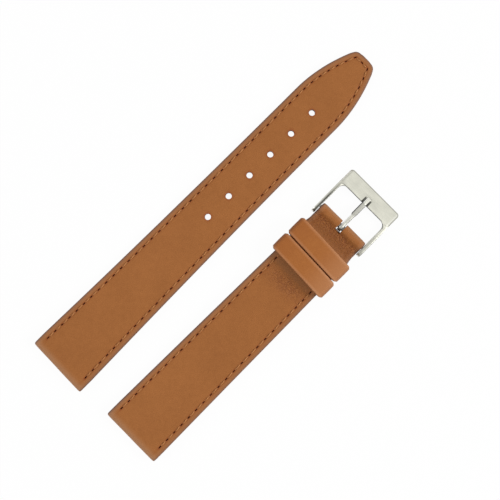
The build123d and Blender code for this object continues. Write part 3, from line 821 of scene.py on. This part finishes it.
def thread(name, dark, light):
    """Twisted thread: two plies wind along each stitch's own UV map."""
    material, nodes, surface = new_material(name)
    plies, turns = 2, 20.0 / (2 * math.pi)
    winding = {0: nodes.place("UV"), 1: (2 * math.pi * turns, 2 * math.pi * plies, 0)}
    winding = nodes.add("VectorMath", winding, operation="DOT_PRODUCT").outputs["Value"]
    ply = nodes.ranged(nodes.math("SINE", winding), -1.0, 0.4)
    fuzz = nodes.noise(nodes.place(), 9000.0, 2.0).outputs[0]
    share = nodes.math("MULTIPLY_ADD", fuzz, 0.35, nodes.math("MULTIPLY", ply, 0.75))
    finish_with(nodes, surface, nodes.mix(share, dark, light), share, 0.7, 0.05 * mm)
    surface["Roughness"].default_value = 0.55
    surface["Specular IOR Level"].default_value = 0.2
    return material


def both_sides(places):
    """The seam's places on one side of the strap and the other."""
    return [[(s, side * y) for s, y, _ in places] for side in (1, -1)]


def sew(strap, name, rows_of_places, top, bottom, seed, skew):
    """Both threads of a strap: the needle's on the face and the bobbin's in the lining."""
    for layer, node, height, side, askew in (
        ("top", "needle", top, 1, skew), ("bottom", "bobbin", bottom, -1, 0.0),
    ):
        stitches = sewing(strap, rows_of_places, height, side, seed + (1 - side) // 2, askew)
        finished(
            stitches, f"{name}_{layer}_thread", f"{name}_strap",
            tan_thread, [f"{name}_{node}_thread"], 180,
        )


tan_thread = thread("waxed_tan_thread", (0.22, 0.078, 0.022), (0.52, 0.22, 0.075))
corner_s, corner_y, _ = long_needle_places[-1]
tip_stitches = [(corner_s, corner_y), (tip_hole_place, 0), (corner_s, -corner_y)]
sew(
    long_strap, "long", [*both_sides(long_needle_places), tip_stitches],
    lambda s: on_path(long_top, s).y, lambda s: bottom_thread_height, 11, long_skew,
)

# The short strap is built like the long one and carries the buckle. Its face leather also folds round the
# buckle's bar: past the keepers it is pressed down and glued, then rises over the bar and turns back under,
# with a slot cut in the fold for the tang.

under_height = 1.05
ramp_start, ramp_end = 12.0, 45.0
free_keeper_start = 63.35
pocket_start, pocket_end = 69.15, 74.55
lining_end = 76.4
short_half_widths = [
    (lining_start, widest), (free_keeper_start, 8.2), (pocket_end, 8.18), (lining_end, 7.87),
]
loop_centre = (80.5, 2.55)
loop_radius = 1.5
loop_hole_radius = 0.8
fillet_radius = 2.0
pressed_top = 2.97
slot_start = 78.5
slot_half_width = 0.9
slot_wall = slot_start + 0.45
short_skew = 0.013
wrinkle_and_shadow_rise = (54.4, 58.8)
wrinkle_and_shadow_fall = (59.8, 61.4)
wrinkle_and_shadow_end = (62.4, 63.2)
keeper_rub_and_light = (60.6, 62.2)
keeper_rub_and_light_end = (63.2, 63.6)
loop_rub_and_highlight = (80.8, 81.7)


def on_runs(points, s):
    """The height of a line on straight runs, level before its first point and after its last."""
    if s <= points[0][0]:
        return points[0][1]
    if s >= points[-1][0]:
        return points[-1][1]
    (before, low), (after, high) = segment_at(points, s)
    return low + (high - low) * (s - before) / (after - before)


def short_half_width(s):
    """Half the strap's width, from 9 mm at the watch to 7.87 mm at the buckle."""
    return on_runs(short_half_widths, s)


def short_edge_distance(s, y):
    """How far a place on the strap lies inside its painted edge."""
    return max(short_half_width(s) - abs(y), 0.0)


def short_under(s):
    """How high the strap's back lies: it rises from the table to the buckle's bar."""
    return on_runs([(ramp_start, 0.0), (ramp_end, under_height)], s)


def short_thickness(s):
    """The strap's thickness, from the watch to where the taper of its board ends."""
    return on_runs([(nose_radius, lug_end_height), (thin_from, thin_height)], s)


def side_view(places, rise, thickness=lambda s: 0.0):
    """A path along the short strap at a height over its back, following a thickness where one is given."""
    return run_heights(places, [short_under(s) + thickness(s) + rise for s in places])


short_strap = strap_frame("short_face_leather", short_half_width, short_edge_distance)
short_needle_places = seam_places(short_half_width, 4.2, pocket_end - 1.4)
fold_start = pocket_end - 0.1
short_top = side_view([0.0, nose_radius, ramp_start, thin_from, ramp_end, fold_start], 0.0, short_thickness)

fillet_rise = pressed_top + fillet_radius - loop_centre[1]
fillet_run = math.sqrt((loop_radius + fillet_radius) ** 2 - fillet_rise**2)
fillet_centre = (loop_centre[0] - fillet_run, pressed_top + fillet_radius)
fillet_turn = math.degrees(math.atan2(-fillet_rise, fillet_run))
loop_points = [(pocket_end + s, z) for s, z in ((-0.1, 3.35), (0.1, 3.27), (0.5, 3.1), (1.2, 2.99))]
loop_points += [(76.8, pressed_top), (fillet_centre[0], pressed_top)]
fillet_at = len(loop_points) - 1
loop_points += arc_points(fillet_centre, fillet_radius, -90, fillet_turn, 5)
loop_points += arc_points(loop_centre, loop_radius, 180 + fillet_turn, -90, 26)
bottom_at = len(loop_points) - 1
loop_points += [(lining_end, under_height), (lining_end, under_height + lining_thickness)]
loop_points += [(pocket_end, under_height + lining_thickness)]
loop_path = walk(loop_points, fold_start)
fillet_u = loop_path[fillet_at][0]
bottom_u, step_u, flap_u, end_u = (u for u, _ in loop_path[bottom_at:])

slot_first = fillet_u + fillet_radius * math.asin((slot_start - fillet_centre[0]) / fillet_radius)
slot_last = bottom_u + loop_centre[0] - (slot_start + 0.8)
turn_start, turn_end = slot_first + 0.3, bottom_u + 0.9
bore_left = loop_centre[0] - loop_hole_radius - seam_gap
loop_back = [
    (pocket_end + 0.08, (pocket_end + 0.06, 2.24)),
    (fillet_u, (fillet_centre[0], 2.42)),
    (slot_first, (slot_wall, 2.5)),
    (turn_start, (bore_left, loop_centre[1] + 0.01)),
    *hole_path(loop_centre, loop_hole_radius, 180, turn_start, turn_end),
    (turn_end + 0.1, (bore_left, loop_centre[1] - 0.01)),
    (slot_last, (slot_wall, 2.48)),
    (step_u, (lining_end + 0.2, 2.34)),
    (flap_u, (lining_end, 2.32)),
    (end_u, (pocket_end + 0.06, 2.2)),
]
short_outside, short_back = nose_paths(short_top, fold_start)
short_outside += loop_path[1:]
short_back += [(u, Vector(point)) for u, point in loop_back]

short_seam_rows = seam_rows(short_needle_places)
pocket_rows = [short_needle_places[-1][0] + 0.28 * i for i in (1, 2, 3, 4)]
fold_rows = [u for u, _ in loop_path[1:4]] + [loop_path[3][0] + 0.45 * i for i in range(1, 5)]
fold_rows += [fillet_u - 0.2, fillet_u + 0.1]
fold_rows += [slot_first + (bottom_u - slot_first) * i / 34 for i in range(35)]
fold_rows += [bottom_u + 0.45, turn_end, slot_last, slot_last + 1.0]
fold_rows += [step_u - 0.04, step_u + 0.04, flap_u - 0.04, flap_u + 0.04, flap_u + 1.0, end_u]
short_nose_rows = nose_rows()
short_rows = short_nose_rows + short_seam_rows + pocket_rows + fold_rows
slot_lines = [slot_half_width, slot_half_width / 2]
short_between = 7
short_middle = len(fine_edge_lines) + short_between + len(slot_lines)
tang_slot = (
    short_rows.index(slot_first), short_rows.index(slot_last),
    short_middle - len(slot_lines), short_middle + len(slot_lines),
)
short_slits = seam_slits(short_needle_places)
plain_press = face_press(short_needle_places, short_outside[2][0] + 0.02, step_u + 0.02)


def short_press(u, s, y, inset):
    """As on the long strap. Before the free keeper the leather is wrinkled and darker, partly its grain and
    partly painted shadow of the keeper, and past the keepers the glued fold is pressed flat, its grain
    crushed and darker, partly as painted shade of the fold."""
    down, _ = plain_press(u, s, y, inset)
    crush_and_shade = 0.0
    if s > wrinkle_and_shadow_rise[0] and u < pocket_end + 0.1:
        middle = 1 - 0.35 * smooth_step(2.0, 5.5, abs(y + 0.5)) - 0.35 * smooth_step(6.0, 7.5, abs(y))
        crush_and_shade = smooth_step(*wrinkle_and_shadow_rise, s) * (0.85 - 0.7 * smooth_step(*wrinkle_and_shadow_fall, s)) * middle
        crush_and_shade *= 1 - smooth_step(*wrinkle_and_shadow_end, s)
    elif pocket_end < u < slot_first + 1.6:
        fold = 0.25 * noise.noise(Vector((y / 3.0, 4.0, 2.0)))
        crush_and_shade = 0.25 + 0.75 * smooth_step(pocket_end + 0.5, fillet_u + 0.6, u)
        crush_and_shade *= 1 - smooth_step(slot_first + 0.2 + fold, slot_first + 1.1 + fold, u)
        down += 0.04 * crush_and_shade * noise.noise(Vector((s * 1.3, y * 1.3, 5.0)))
    return down, crush_and_shade


def short_wear_and_light(s, z):
    """The face is paler where it turns over the buckle's bar, partly wear and partly a painted highlight, and
    a little beside the free keeper, painted light over its shadow.
    """
    if z <= loop_centre[1] - 1.0:
        return 0.0
    beside_keeper = smooth_step(*keeper_rub_and_light, s) * (1 - smooth_step(*keeper_rub_and_light_end, s))
    return 0.65 * smooth_step(*loop_rub_and_highlight, s) + 0.25 * beside_keeper


short_face = leather_sheet(
    short_strap, short_outside, short_back, even(short_rows), short_press,
    fine_edge_lines, short_between, slot_lines, skew=short_skew, worn_and_lit=short_wear_and_light,
    slits=shifted(short_slits, len(short_nose_rows)), slots=[tang_slot],
)
finished(short_face, "short_face", "short_strap", face_leather, ["short_face_leather"])

# The short strap's board, tape and lining. The board is thinner over the fixed keeper's tails, which pass
# between it and the lining, and the lining ends where the fold of the face leather comes back to meet it.

hidden_short = inset_strap(short_strap, hidden_inset)
pocket_top = 2.35
even_run = [ramp_start + 1.5 * i for i in range(38)]
board_places = [glued_length, ramp_start, thin_from, ramp_end, pocket_end]
board_under = [
    (glued_length, flap_top), (flap_end - 0.01, flap_top), (flap_end, tape_top), (ramp_start, tape_top),
    (ramp_end, tape_top + under_height), (pocket_start - 0.01, tape_top + under_height),
    (pocket_start, pocket_top), (pocket_end, pocket_top),
]
short_board = leather_sheet(
    hidden_short, side_view(board_places, -face_thickness, short_thickness), run_heights(*zip(*board_under)),
    even([
        glued_length, flap_end - 0.01, flap_end, 10.5, *even_run,
        pocket_start - 0.01, pocket_start, 71.0, 73.0, pocket_end,
    ]),
    flat_press, coarse_edge_lines, 2, slot_lines,
)
finished(short_board, "short_board", "short_strap", board, ["short_filler"])

tape_places = [flap_end, ramp_start, ramp_end, pocket_start]
short_tape = leather_sheet(
    hidden_short, side_view(tape_places, tape_top), side_view(tape_places, lining_thickness),
    even([flap_end, 10.5, *even_run, pocket_start]), flat_press, coarse_edge_lines, 2, slot_lines,
)
finished(short_tape, "short_tape", "short_strap", tape, ["short_stay"])

lining_places = [lining_start, ramp_start, ramp_end, lining_end]
lining_rows, lining_slits = starting_at(even(short_seam_rows), lining_start, short_slits[1:])
short_lining = leather_sheet(
    short_strap, side_view(lining_places, 0.0), side_view(lining_places, lining_thickness),
    lining_rows + even([*pocket_rows, 75.0, 75.7, lining_end]), lining_press(short_needle_places),
    fine_edge_lines, 6, slot_lines, side=-1, slits=lining_slits,
)
finished(short_lining, "short_back", "short_strap", lining_leather, ["short_lining"])
sew(
    short_strap, "short", both_sides(short_needle_places),
    lambda s: on_path(short_top, s).y, lambda s: short_under(s) + bottom_thread_height, 21, short_skew,
)

# The keepers are strips of the face leather folded round a thin core, so that both long edges are soft rolls,
# and closed into rings. The fixed one's tails are sewn in under the board. The free one slides along the
# strap. Both sit a little slantwise, as they do on a strap that was tried on.

keeper_length = 5.3
keeper_band = 0.9
fixed_tail_band = 0.7
keeper_corner = 1.3
keeper_slant = 0.038
keeper_arch = 0.42
keeper_crown = 0.07
corner_cells, wide_cells, tall_cells = 9, 22, 7


def keeper_outline(half, low, high, corner):
    """A rounded rectangle seen along the strap, with the same number of points whatever its size."""
    centres = [(half - corner, high - corner), (corner - half, high - corner)]
    centres += [(corner - half, low + corner), (half - corner, low + corner)]
    points = []
    for i, (y, z) in enumerate(centres):
        turns = [math.radians(90 * i + 90 * k / corner_cells) for k in range(corner_cells + 1)]
        points += [Vector((y + corner * math.cos(t), z + corner * math.sin(t))) for t in turns]
        there = Vector(centres[(i + 1) % 4]) + corner * Vector((math.cos(turns[-1]), math.sin(turns[-1])))
        cells = wide_cells if i % 2 == 0 else tall_cells
        points += [points[-1].lerp(there, k / cells) for k in range(1, cells)]
    return points


def keeper_section(half, roll):
    """The folded strip cut along the strap: how far along, and how deep, from 0 outside to 1 inside. It has a
    slight crown, two rolled edges, and inside a shallow groove where the edges meet."""
    flat = half - roll
    strip = [flat * (i / 5 - 1) for i in range(11)]
    section = [(x, keeper_crown * (x / half) ** 2) for x in strip]
    for side, angles in ((1, range(-65, 90, 25)), (-1, range(60, -90, -25))):
        turns = [math.radians(angle) for angle in angles]
        section += [(side * (flat + roll * math.cos(t)), 0.5 + 0.5 * math.sin(t)) for t in turns]
        if side == 1:
            groove = [flat * x for x in (1, 0.6, 0.3, 0.06, 0.03, -0.03, -0.06, -0.3, -0.6, -1)]
            section += [(x, 0.8 if abs(x) < 0.1 else 1.0) for x in groove]
    return section


def keeper_ring(start, length, width, low, high, low_band):
    """A folded strip closed into a ring, with an arched top and sides that are pinched at the corners."""
    half = length / 2
    outside = keeper_outline(width / 2, low, high, keeper_corner)
    inside = keeper_outline(
        width / 2 - keeper_band, low + low_band, high - keeper_band, keeper_corner - keeper_band
    )
    section = keeper_section(half, keeper_band / 2)
    around, across = len(outside), len(section)
    middle_z = (low + high) / 2
    bm = bmesh.new()
    bmesh.ops.create_grid(bm, x_segments=around, y_segments=across, size=1)
    finish = bm.verts.layers.float_color.new("finish")
    rub_and_light = bm.verts.layers.float.new("rub_and_light")
    for v in bm.verts:
        out = outside[round((v.co.x + 1) / 2 * around) % around]
        back = inside[round((v.co.x + 1) / 2 * around) % around]
        along, depth = section[round((v.co.y + 1) / 2 * across) % across]
        y, z = out.lerp(back, depth)
        x = along * (1 - 0.3 * smooth_step(width / 2 - 0.7, width / 2, abs(out.x)) ** 2 / half)
        if out.y > middle_z:
            z += keeper_arch * (1 - (2 * y / width) ** 2) - keeper_arch * 0.55
            z += 0.05 * noise.noise(Vector((x / 2.0, y / 4.0, start)))
        v.co = (short_strap.start + start + half + x + keeper_slant * y, short_strap.middle + y, z)
        # The ring's sides over the strap's edges are greyed with the paint colour: painted shade.
        paint_and_shade = 0.35 * smooth_step(width / 2 - 1.0, width / 2, abs(y))
        # The keeper's +Y end is darkened through the seam channel: painted shade on the side away from the
        # light.
        v[finish] = (paint_and_shade, 1.3 * smooth_step(1.0, width / 2, y), 0.0, 0.0)
        # The rolled long edges and the -Y end of each keeper are made paler: painted highlights, and painted
        # light on the side facing it.
        edge = smooth_step(half - 0.75, half - 0.3, abs(along)) * (1 - smooth_step(0.3, 0.7, depth))
        v[rub_and_light] = min(0.6 * edge + 0.55 * smooth_step(0.0, -width / 2, y), 1.0)
    bmesh.ops.remove_doubles(bm, verts=bm.verts[:], dist=0.0005)
    return bm


def give_material(node, material):
    """Assigns a material to all the slots of a CAD node."""
    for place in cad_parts[node].material_slots:
        place.material = material


keeper_leather = leather(
    "rolled_tan_calf", dark=(0.365, 0.122, 0.028), light=(0.42, 0.148, 0.035), paint_and_shade=edge_paint,
    relief=0.2, rough=0.46, grain=0.38, rubbed_and_lit=(0.5, 0.225, 0.1),
)
for keeper, body, low_band, lug_spread, buckle_spread in (
    ("free_keeper", "free_keeper", keeper_band, 0.2, 0.0),
    ("fixed_keeper", "short_strap", fixed_tail_band, 0.25, 0.15),
):
    lowest, highest = (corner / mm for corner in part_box(f"{keeper}_cover"))
    ring = keeper_ring(
        lowest.x - short_strap.start - lug_spread, keeper_length + lug_spread + buckle_spread,
        highest.y - lowest.y, lowest.z, highest.z, low_band,
    )
    finished(ring, keeper, body, keeper_leather, [f"{keeper}_cover"], 60)
    give_material(f"{keeper}_core", board)

# The buckle is stainless steel: a frame of two arms and a broad front bar, satin brushed, with all its edges
# broken, and a tang that was bent round the bar at its root and hammered flat towards its tip.

window_edge = 89.3
window_corner = 1.7
arm_inside = 8.05
plate_top = 1.6
plate_start = (88.2, 90.6)
notch_half_width = 1.1
notch_end = (90.9, 91.5)
arm_near = (84.0, 87.0)
arm_end = (86.5, 88.5)
arm_side = (5.5, 7.5)
plate_front = (90.5, 93.5)
frame_cuts = (82.5, 84.0, 85.5, 87.0, 88.2, 90.6, 90.9, 91.2, 91.5, 92.5, 93.4)
tang_bend = (79.7, 80.3)
tang_neck = (80.6, 82.0)
tang_broad = (84.6, 85.2)
tang_tip = (89.2, 89.5)
tang_cuts = (79.7, 80.0, 80.3, 80.6, 81.0, 81.5, 82.0, 84.6, 84.9, 85.2, 89.2, 89.5)


def steel_copy(node):
    """A node's own mesh in millimetres, with its flat faces joined up."""
    bm = bmesh.new()
    bm.from_mesh(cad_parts[node].data)
    bmesh.ops.scale(bm, vec=(1 / mm, 1 / mm, 1 / mm), verts=bm.verts[:])
    bmesh.ops.remove_doubles(bm, verts=bm.verts[:], dist=0.0005)
    bmesh.ops.dissolve_limit(
        bm, angle_limit=math.radians(0.6), verts=bm.verts[:], edges=bm.edges[:],
        use_dissolve_boundaries=False,
    )
    bm.normal_update()
    return bm


def round_edges(bm, wanted, width, segments):
    """Rounds the wanted sharp edges, as a file and tumbling in a polishing drum leave them."""
    edges = [e for e in bm.edges if len(e.link_faces) == 2]
    sharp = [e for e in edges if e.calc_face_angle() > math.radians(50) and wanted(e)]
    bmesh.ops.bevel(
        bm, geom=sharp, offset=width, offset_type="OFFSET", segments=segments, profile=0.5, affect="EDGES",
        clamp_overlap=False, material=-1,
    )
    bm.normal_update()


def plane_cut(bm, place, normal, reach=0.0001, **sides):
    """Cuts all the faces of a mesh that a plane goes through."""
    everything = bm.verts[:] + bm.edges[:] + bm.faces[:]
    bmesh.ops.bisect_plane(bm, geom=everything, dist=reach, plane_co=place, plane_no=normal, **sides)


def with_painted_light(bm, shade, cuts):
    """Cuts a steel piece into strips along the given places and gives each corner of its faces its share of
    painted shade and dark reflection, and of painted highlight."""
    for along in cuts:
        plane_cut(bm, (short_strap.start + along, 0, 0), (1, 0, 0))
    bm.normal_update()
    painted_shade = bm.loops.layers.float.new("painted_shade")
    painted_highlight = bm.loops.layers.float.new("painted_highlight")
    for face in bm.faces:
        for corner in face.loops:
            x, y, z = corner.vert.co
            corner[painted_shade], corner[painted_highlight] = shade(x - short_strap.start, y - short_strap.middle, z, face.normal)
    return bm


def steel_piece(bm, name, body, material, node):
    """Finishes a steel piece, with even shading over its flat faces."""
    piece = finished(bm, name, body, material, [node], 35)
    piece.modifiers.new("even shading", "WEIGHTED_NORMAL").keep_sharp = True


def brushed_steel(name, colour, rough, along):
    """Satin steel: fine scratches run one way, and the gloss varies a little. One attribute darkens it toward
    near black, as painted shade and painted dark reflection, and another lightens it, as painted highlight."""
    material, nodes, surface = new_material(name)
    place = nodes.place()
    scale = [9 / mm, 9 / mm, 9 / mm]
    scale[along] = 0.35 / mm
    scratch = nodes.noise(nodes.stretched(place, scale), 1.0, 3.0).outputs[0]
    smear = nodes.noise(place, 0.4 / mm, 2.0).outputs[0]
    dark, light = [c * 0.94 for c in colour], [min(c * 1.04, 1.0) for c in colour]
    shade = nodes.mix(nodes.ranged(scratch, 0.3, 0.7), dark, light)
    # A painted highlight toward a pale tone, then painted shade and dark reflection toward near black.
    for share, tone in (("painted_highlight", (0.86, 0.86, 0.83)), ("painted_shade", (0.045, 0.043, 0.04))):
        shade = nodes.mix(nodes.attribute(share).outputs["Fac"], shade, tone)
    finish_with(nodes, surface, shade, scratch, 0.05, 0.02 * mm)
    nodes.tree.links.new(nodes.ranged(smear, 0.3, 0.7, rough - 0.05, rough + 0.06), surface["Roughness"])
    surface["Metallic"].default_value = 1.0
    return material


def off_window(s, y):
    """How far a place on the frame lies outside its window, whose front corners are rounded."""
    run = max(s - (window_edge - window_corner), 0.0)
    rise = abs(y) - (arm_inside - window_corner)
    if run > 0 and rise > 0:
        return math.hypot(run, rise) - window_corner
    return max(s - window_edge, abs(y) - arm_inside) if rise > 0 or run > 0 else -1.0


def frame_shade(s, y, z, normal):
    """The window's rim, the arms' inner halves near the leather and the notch beside the tang are darker, as
    painted shade and painted dark reflection, the +Y arm more than the -Y one. The plate's and the arms'
    outer edges are a little duller as painted shade, and a band at the plate's -Y end and the other faces get
    a painted highlight."""
    if s > window_edge + 0.2 and abs(y) < notch_half_width + 0.16:
        deep = 1 - smooth_step(*notch_end, s)
        return (0.85 * deep if z < plate_top - 0.12 or abs(normal.y) > 0.5 else 0.1), 0.0
    if normal.z > 0.985 or (s < window_edge and abs(normal.y) < 0.15 and normal.z > 0.6):
        plate = smooth_step(*plate_start, s)
        stripe = smooth_step(arm_inside - 0.05 + 0.2 * plate, arm_inside + 0.25 + 0.1 * plate, abs(y))
        stripe *= 1 - smooth_step(arm_inside + (0.5 if y > 0 else 0.35), arm_inside + 0.85, abs(y))
        far = 0.06 * smooth_step(*plate_front, s)
        near = 1 - smooth_step(*arm_near, s)
        if y > 0:
            arm = 1 - smooth_step(arm_near[1], plate_start[1], s)
            return (0.26 + 0.4 * arm + 0.32 * near) * stripe + far, 0.0
        before_plate = 1 - smooth_step(window_edge - 0.9, window_edge, s)
        sloped = (0.25 + 0.25 * stripe) * (0.65 + 0.35 * near) * before_plate
        return sloped + far, 0.3 * stripe * plate
    if off_window(s, y) < 0.2:
        arm = smooth_step(*arm_side, abs(y)) * (1 - smooth_step(*arm_end, s))
        side = 0.6 if y > 0 else 0.15
        return 0.93 + (side - 0.93) * arm, 0.0
    if normal.y < -0.15:
        return (0.85 - 0.5 * smooth_step(86.5, 89.0, s)) * smooth_step(-0.2, 0.2, normal.z), 0.0
    if normal.x > 0.15:
        return 0.35 * smooth_step(0.0, 0.4, normal.z), 0.0
    return 0.0, 0.5


def tang_shade(s, y, z, normal):
    """The tang's broad part is duller, with its sides darkened as painted shade and dark reflection, most on
    its +Y side. Its +Y edges near the root get a painted highlight, and its root in the slot is darkened as
    painted shade."""
    root = 0.85 - 0.45 * smooth_step(*tang_bend, s) - 0.4 * smooth_step(*tang_neck, s)
    tip = smooth_step(*tang_tip, s)
    broad = smooth_step(*tang_broad, s) * (1 - tip)
    if normal.z > 0.93:
        return max(root, 0.2 + 0.18 * broad) * (1 - 0.7 * tip), 0.0
    if normal.y > 0.15:
        return max(root, 0.98 * broad), 0.6 * (1 - broad)
    return max(root, 0.8 + 0.05 * broad) * (1 - 0.3 * tip), 0.0


def off_cusp(edge):
    """Leaves out the edges next to the cusps where the arms' tops run out beside the window's corners."""
    places = [(v.co.x - short_strap.start, abs(v.co.y - short_strap.middle)) for v in edge.verts]
    return not all(88.8 < s < 89.6 and 5.9 < y < 7.3 for s, y in places)


def tang_side(edge):
    """Whether an edge is an upper rim of the tang."""
    faces = [face.normal for face in edge.link_faces]
    return any(normal.z > 0.5 for normal in faces) and any(abs(normal.y) > 0.6 for normal in faces)


frame_steel = brushed_steel("satin_buckle_steel", (0.605, 0.6, 0.52), 0.4, 1)
buckle = steel_copy("buckle_frame")
round_edges(buckle, off_cusp, 0.1, 3)
for across in (arm_inside + 0.15, arm_inside + 0.35, arm_inside + 0.6):
    for side in (1, -1):
        plane_cut(buckle, (0, short_strap.middle + side * across, 0), (0, 1, 0))
steel_piece(with_painted_light(buckle, frame_shade, frame_cuts), "buckle", "frame", frame_steel, "buckle_frame")

tang_steel = brushed_steel("satin_tang_steel", (0.6, 0.595, 0.53), 0.38, 0)
tang = steel_copy("buckle_tang")
round_edges(tang, tang_side, 0.22, 2)
round_edges(tang, lambda edge: True, 0.06, 2)
steel_piece(with_painted_light(tang, tang_shade, tang_cuts), "tang", "tang", tang_steel, "buckle_tang")

# The spring bar is turned from plain steel: a tube with two stepped pins that a coil spring inside it pushes
# out into the buckle's arms. It shows in the tang's slot and at the arms.

bar_steel = brushed_steel("turned_bar_steel", (0.2, 0.19, 0.17), 0.25, 0)
for node in ("bar_tube", "bar_pin_left", "bar_pin_right"):
    give_material(node, bar_steel)

# The coil spring is wound from thin steel wire and lies loose in the tube. It is made in two halves.

spring_low, spring_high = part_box("bar_spring")
spring_middle = (spring_low + spring_high) / 2
for pin, side, spring_end in (("pin_left", 1, spring_high.y), ("pin_right", -1, spring_low.y)):
    half = bmesh.new()
    half.from_mesh(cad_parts["bar_spring"].data)
    bmesh.ops.remove_doubles(half, verts=half.verts[:], dist=0.0005 * mm)
    plane_cut(half, spring_middle, (0, -side, 0), 0.0001 * mm, clear_outer=True)
    bmesh.ops.holes_fill(half, edges=half.edges[:])
    bmesh.ops.recalc_face_normals(half, faces=half.faces[:])
    half_spring = as_object(half, f"spring_at_{pin}", bar_steel)
    half_spring.data.shade_smooth()
    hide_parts("bar_spring")
    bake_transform(half_spring)

# The strap lies on a white table in a white studio, lit softly from the buckle's side and less from the
# other. Both are white where they are seen, and dimmer as a source of light.

table_half_size = 3.0
table_gap = 0.03


def seen_share(nodes):
    """1 on a ray that the table or the studio is seen by, directly or in a shiny surface, and else 0."""
    path = nodes.add("LightPath").outputs
    seen = nodes.math("MAXIMUM", path["Is Camera Ray"], path["Is Glossy Ray"])
    return nodes.math("MAXIMUM", seen, path["Is Transmission Ray"])


white = bpy.data.materials.new("white_table")
white.use_nodes = True
nodes = Nodes(white.node_tree)
nodes.tree.nodes.clear()
glow = nodes.add("Emission", {"Color": (1, 1, 1, 1), "Strength": 1.0}).outputs[0]
matt = nodes.add("BsdfDiffuse", {"Color": (0.94, 0.94, 0.94, 1)}).outputs[0]
glow_share = nodes.math("MULTIPLY", seen_share(nodes), 0.96)
both = nodes.add("MixShader", {0: glow_share, 1: matt, 2: glow}).outputs[0]
nodes.add("OutputMaterial", {"Surface": both})

bm = bmesh.new()
bmesh.ops.create_grid(bm, x_segments=1, y_segments=1, size=table_half_size)
bmesh.ops.translate(bm, vec=(0, 0, -table_gap * mm), verts=bm.verts[:])
table = as_object(bm, "table", white)

world = bpy.data.worlds.new("studio")
bpy.context.scene.world = world
world.use_nodes = True
nodes = Nodes(world.node_tree)
nodes.tree.nodes.clear()
level = nodes.ranged(seen_share(nodes), 0.0, 1.0, 0.42, 1.0)
sky = nodes.add("Background", {"Color": (1, 1, 1, 1), "Strength": level}).outputs[0]
nodes.add("OutputWorld", {"Surface": sky})


def lamp(name, place, size, watts):
    """A square soft light that looks at the strap's middle."""
    light = bpy.data.lights.new(name, "AREA")
    light.size = size
    light.energy = watts
    made = bpy.data.objects.new(name, light)
    made.location = place
    made.rotation_euler = (-Vector(place)).to_track_quat("-Z", "Y").to_euler()
    bpy.context.scene.collection.objects.link(made)


lamp("key_light", (0.42, -0.42, 0.5), 0.35, 3.5)
lamp("fill_light", (-0.5, 0.4, 0.5), 0.5, 2.1)

# The camera looks straight down, turned so that the straps run up to the right.

camera_data = bpy.data.cameras.new("camera")
camera_data.lens = 93.75
camera_data.sensor_width = 36
camera = bpy.data.objects.new("camera", camera_data)
camera.location = (0.00033, -0.00037, 0.353)
camera.rotation_euler = (0, 0, math.radians(-45))
bpy.context.scene.collection.objects.link(camera)
bpy.context.scene.camera = camera
bpy.context.scene.view_settings.view_transform = "Standard"
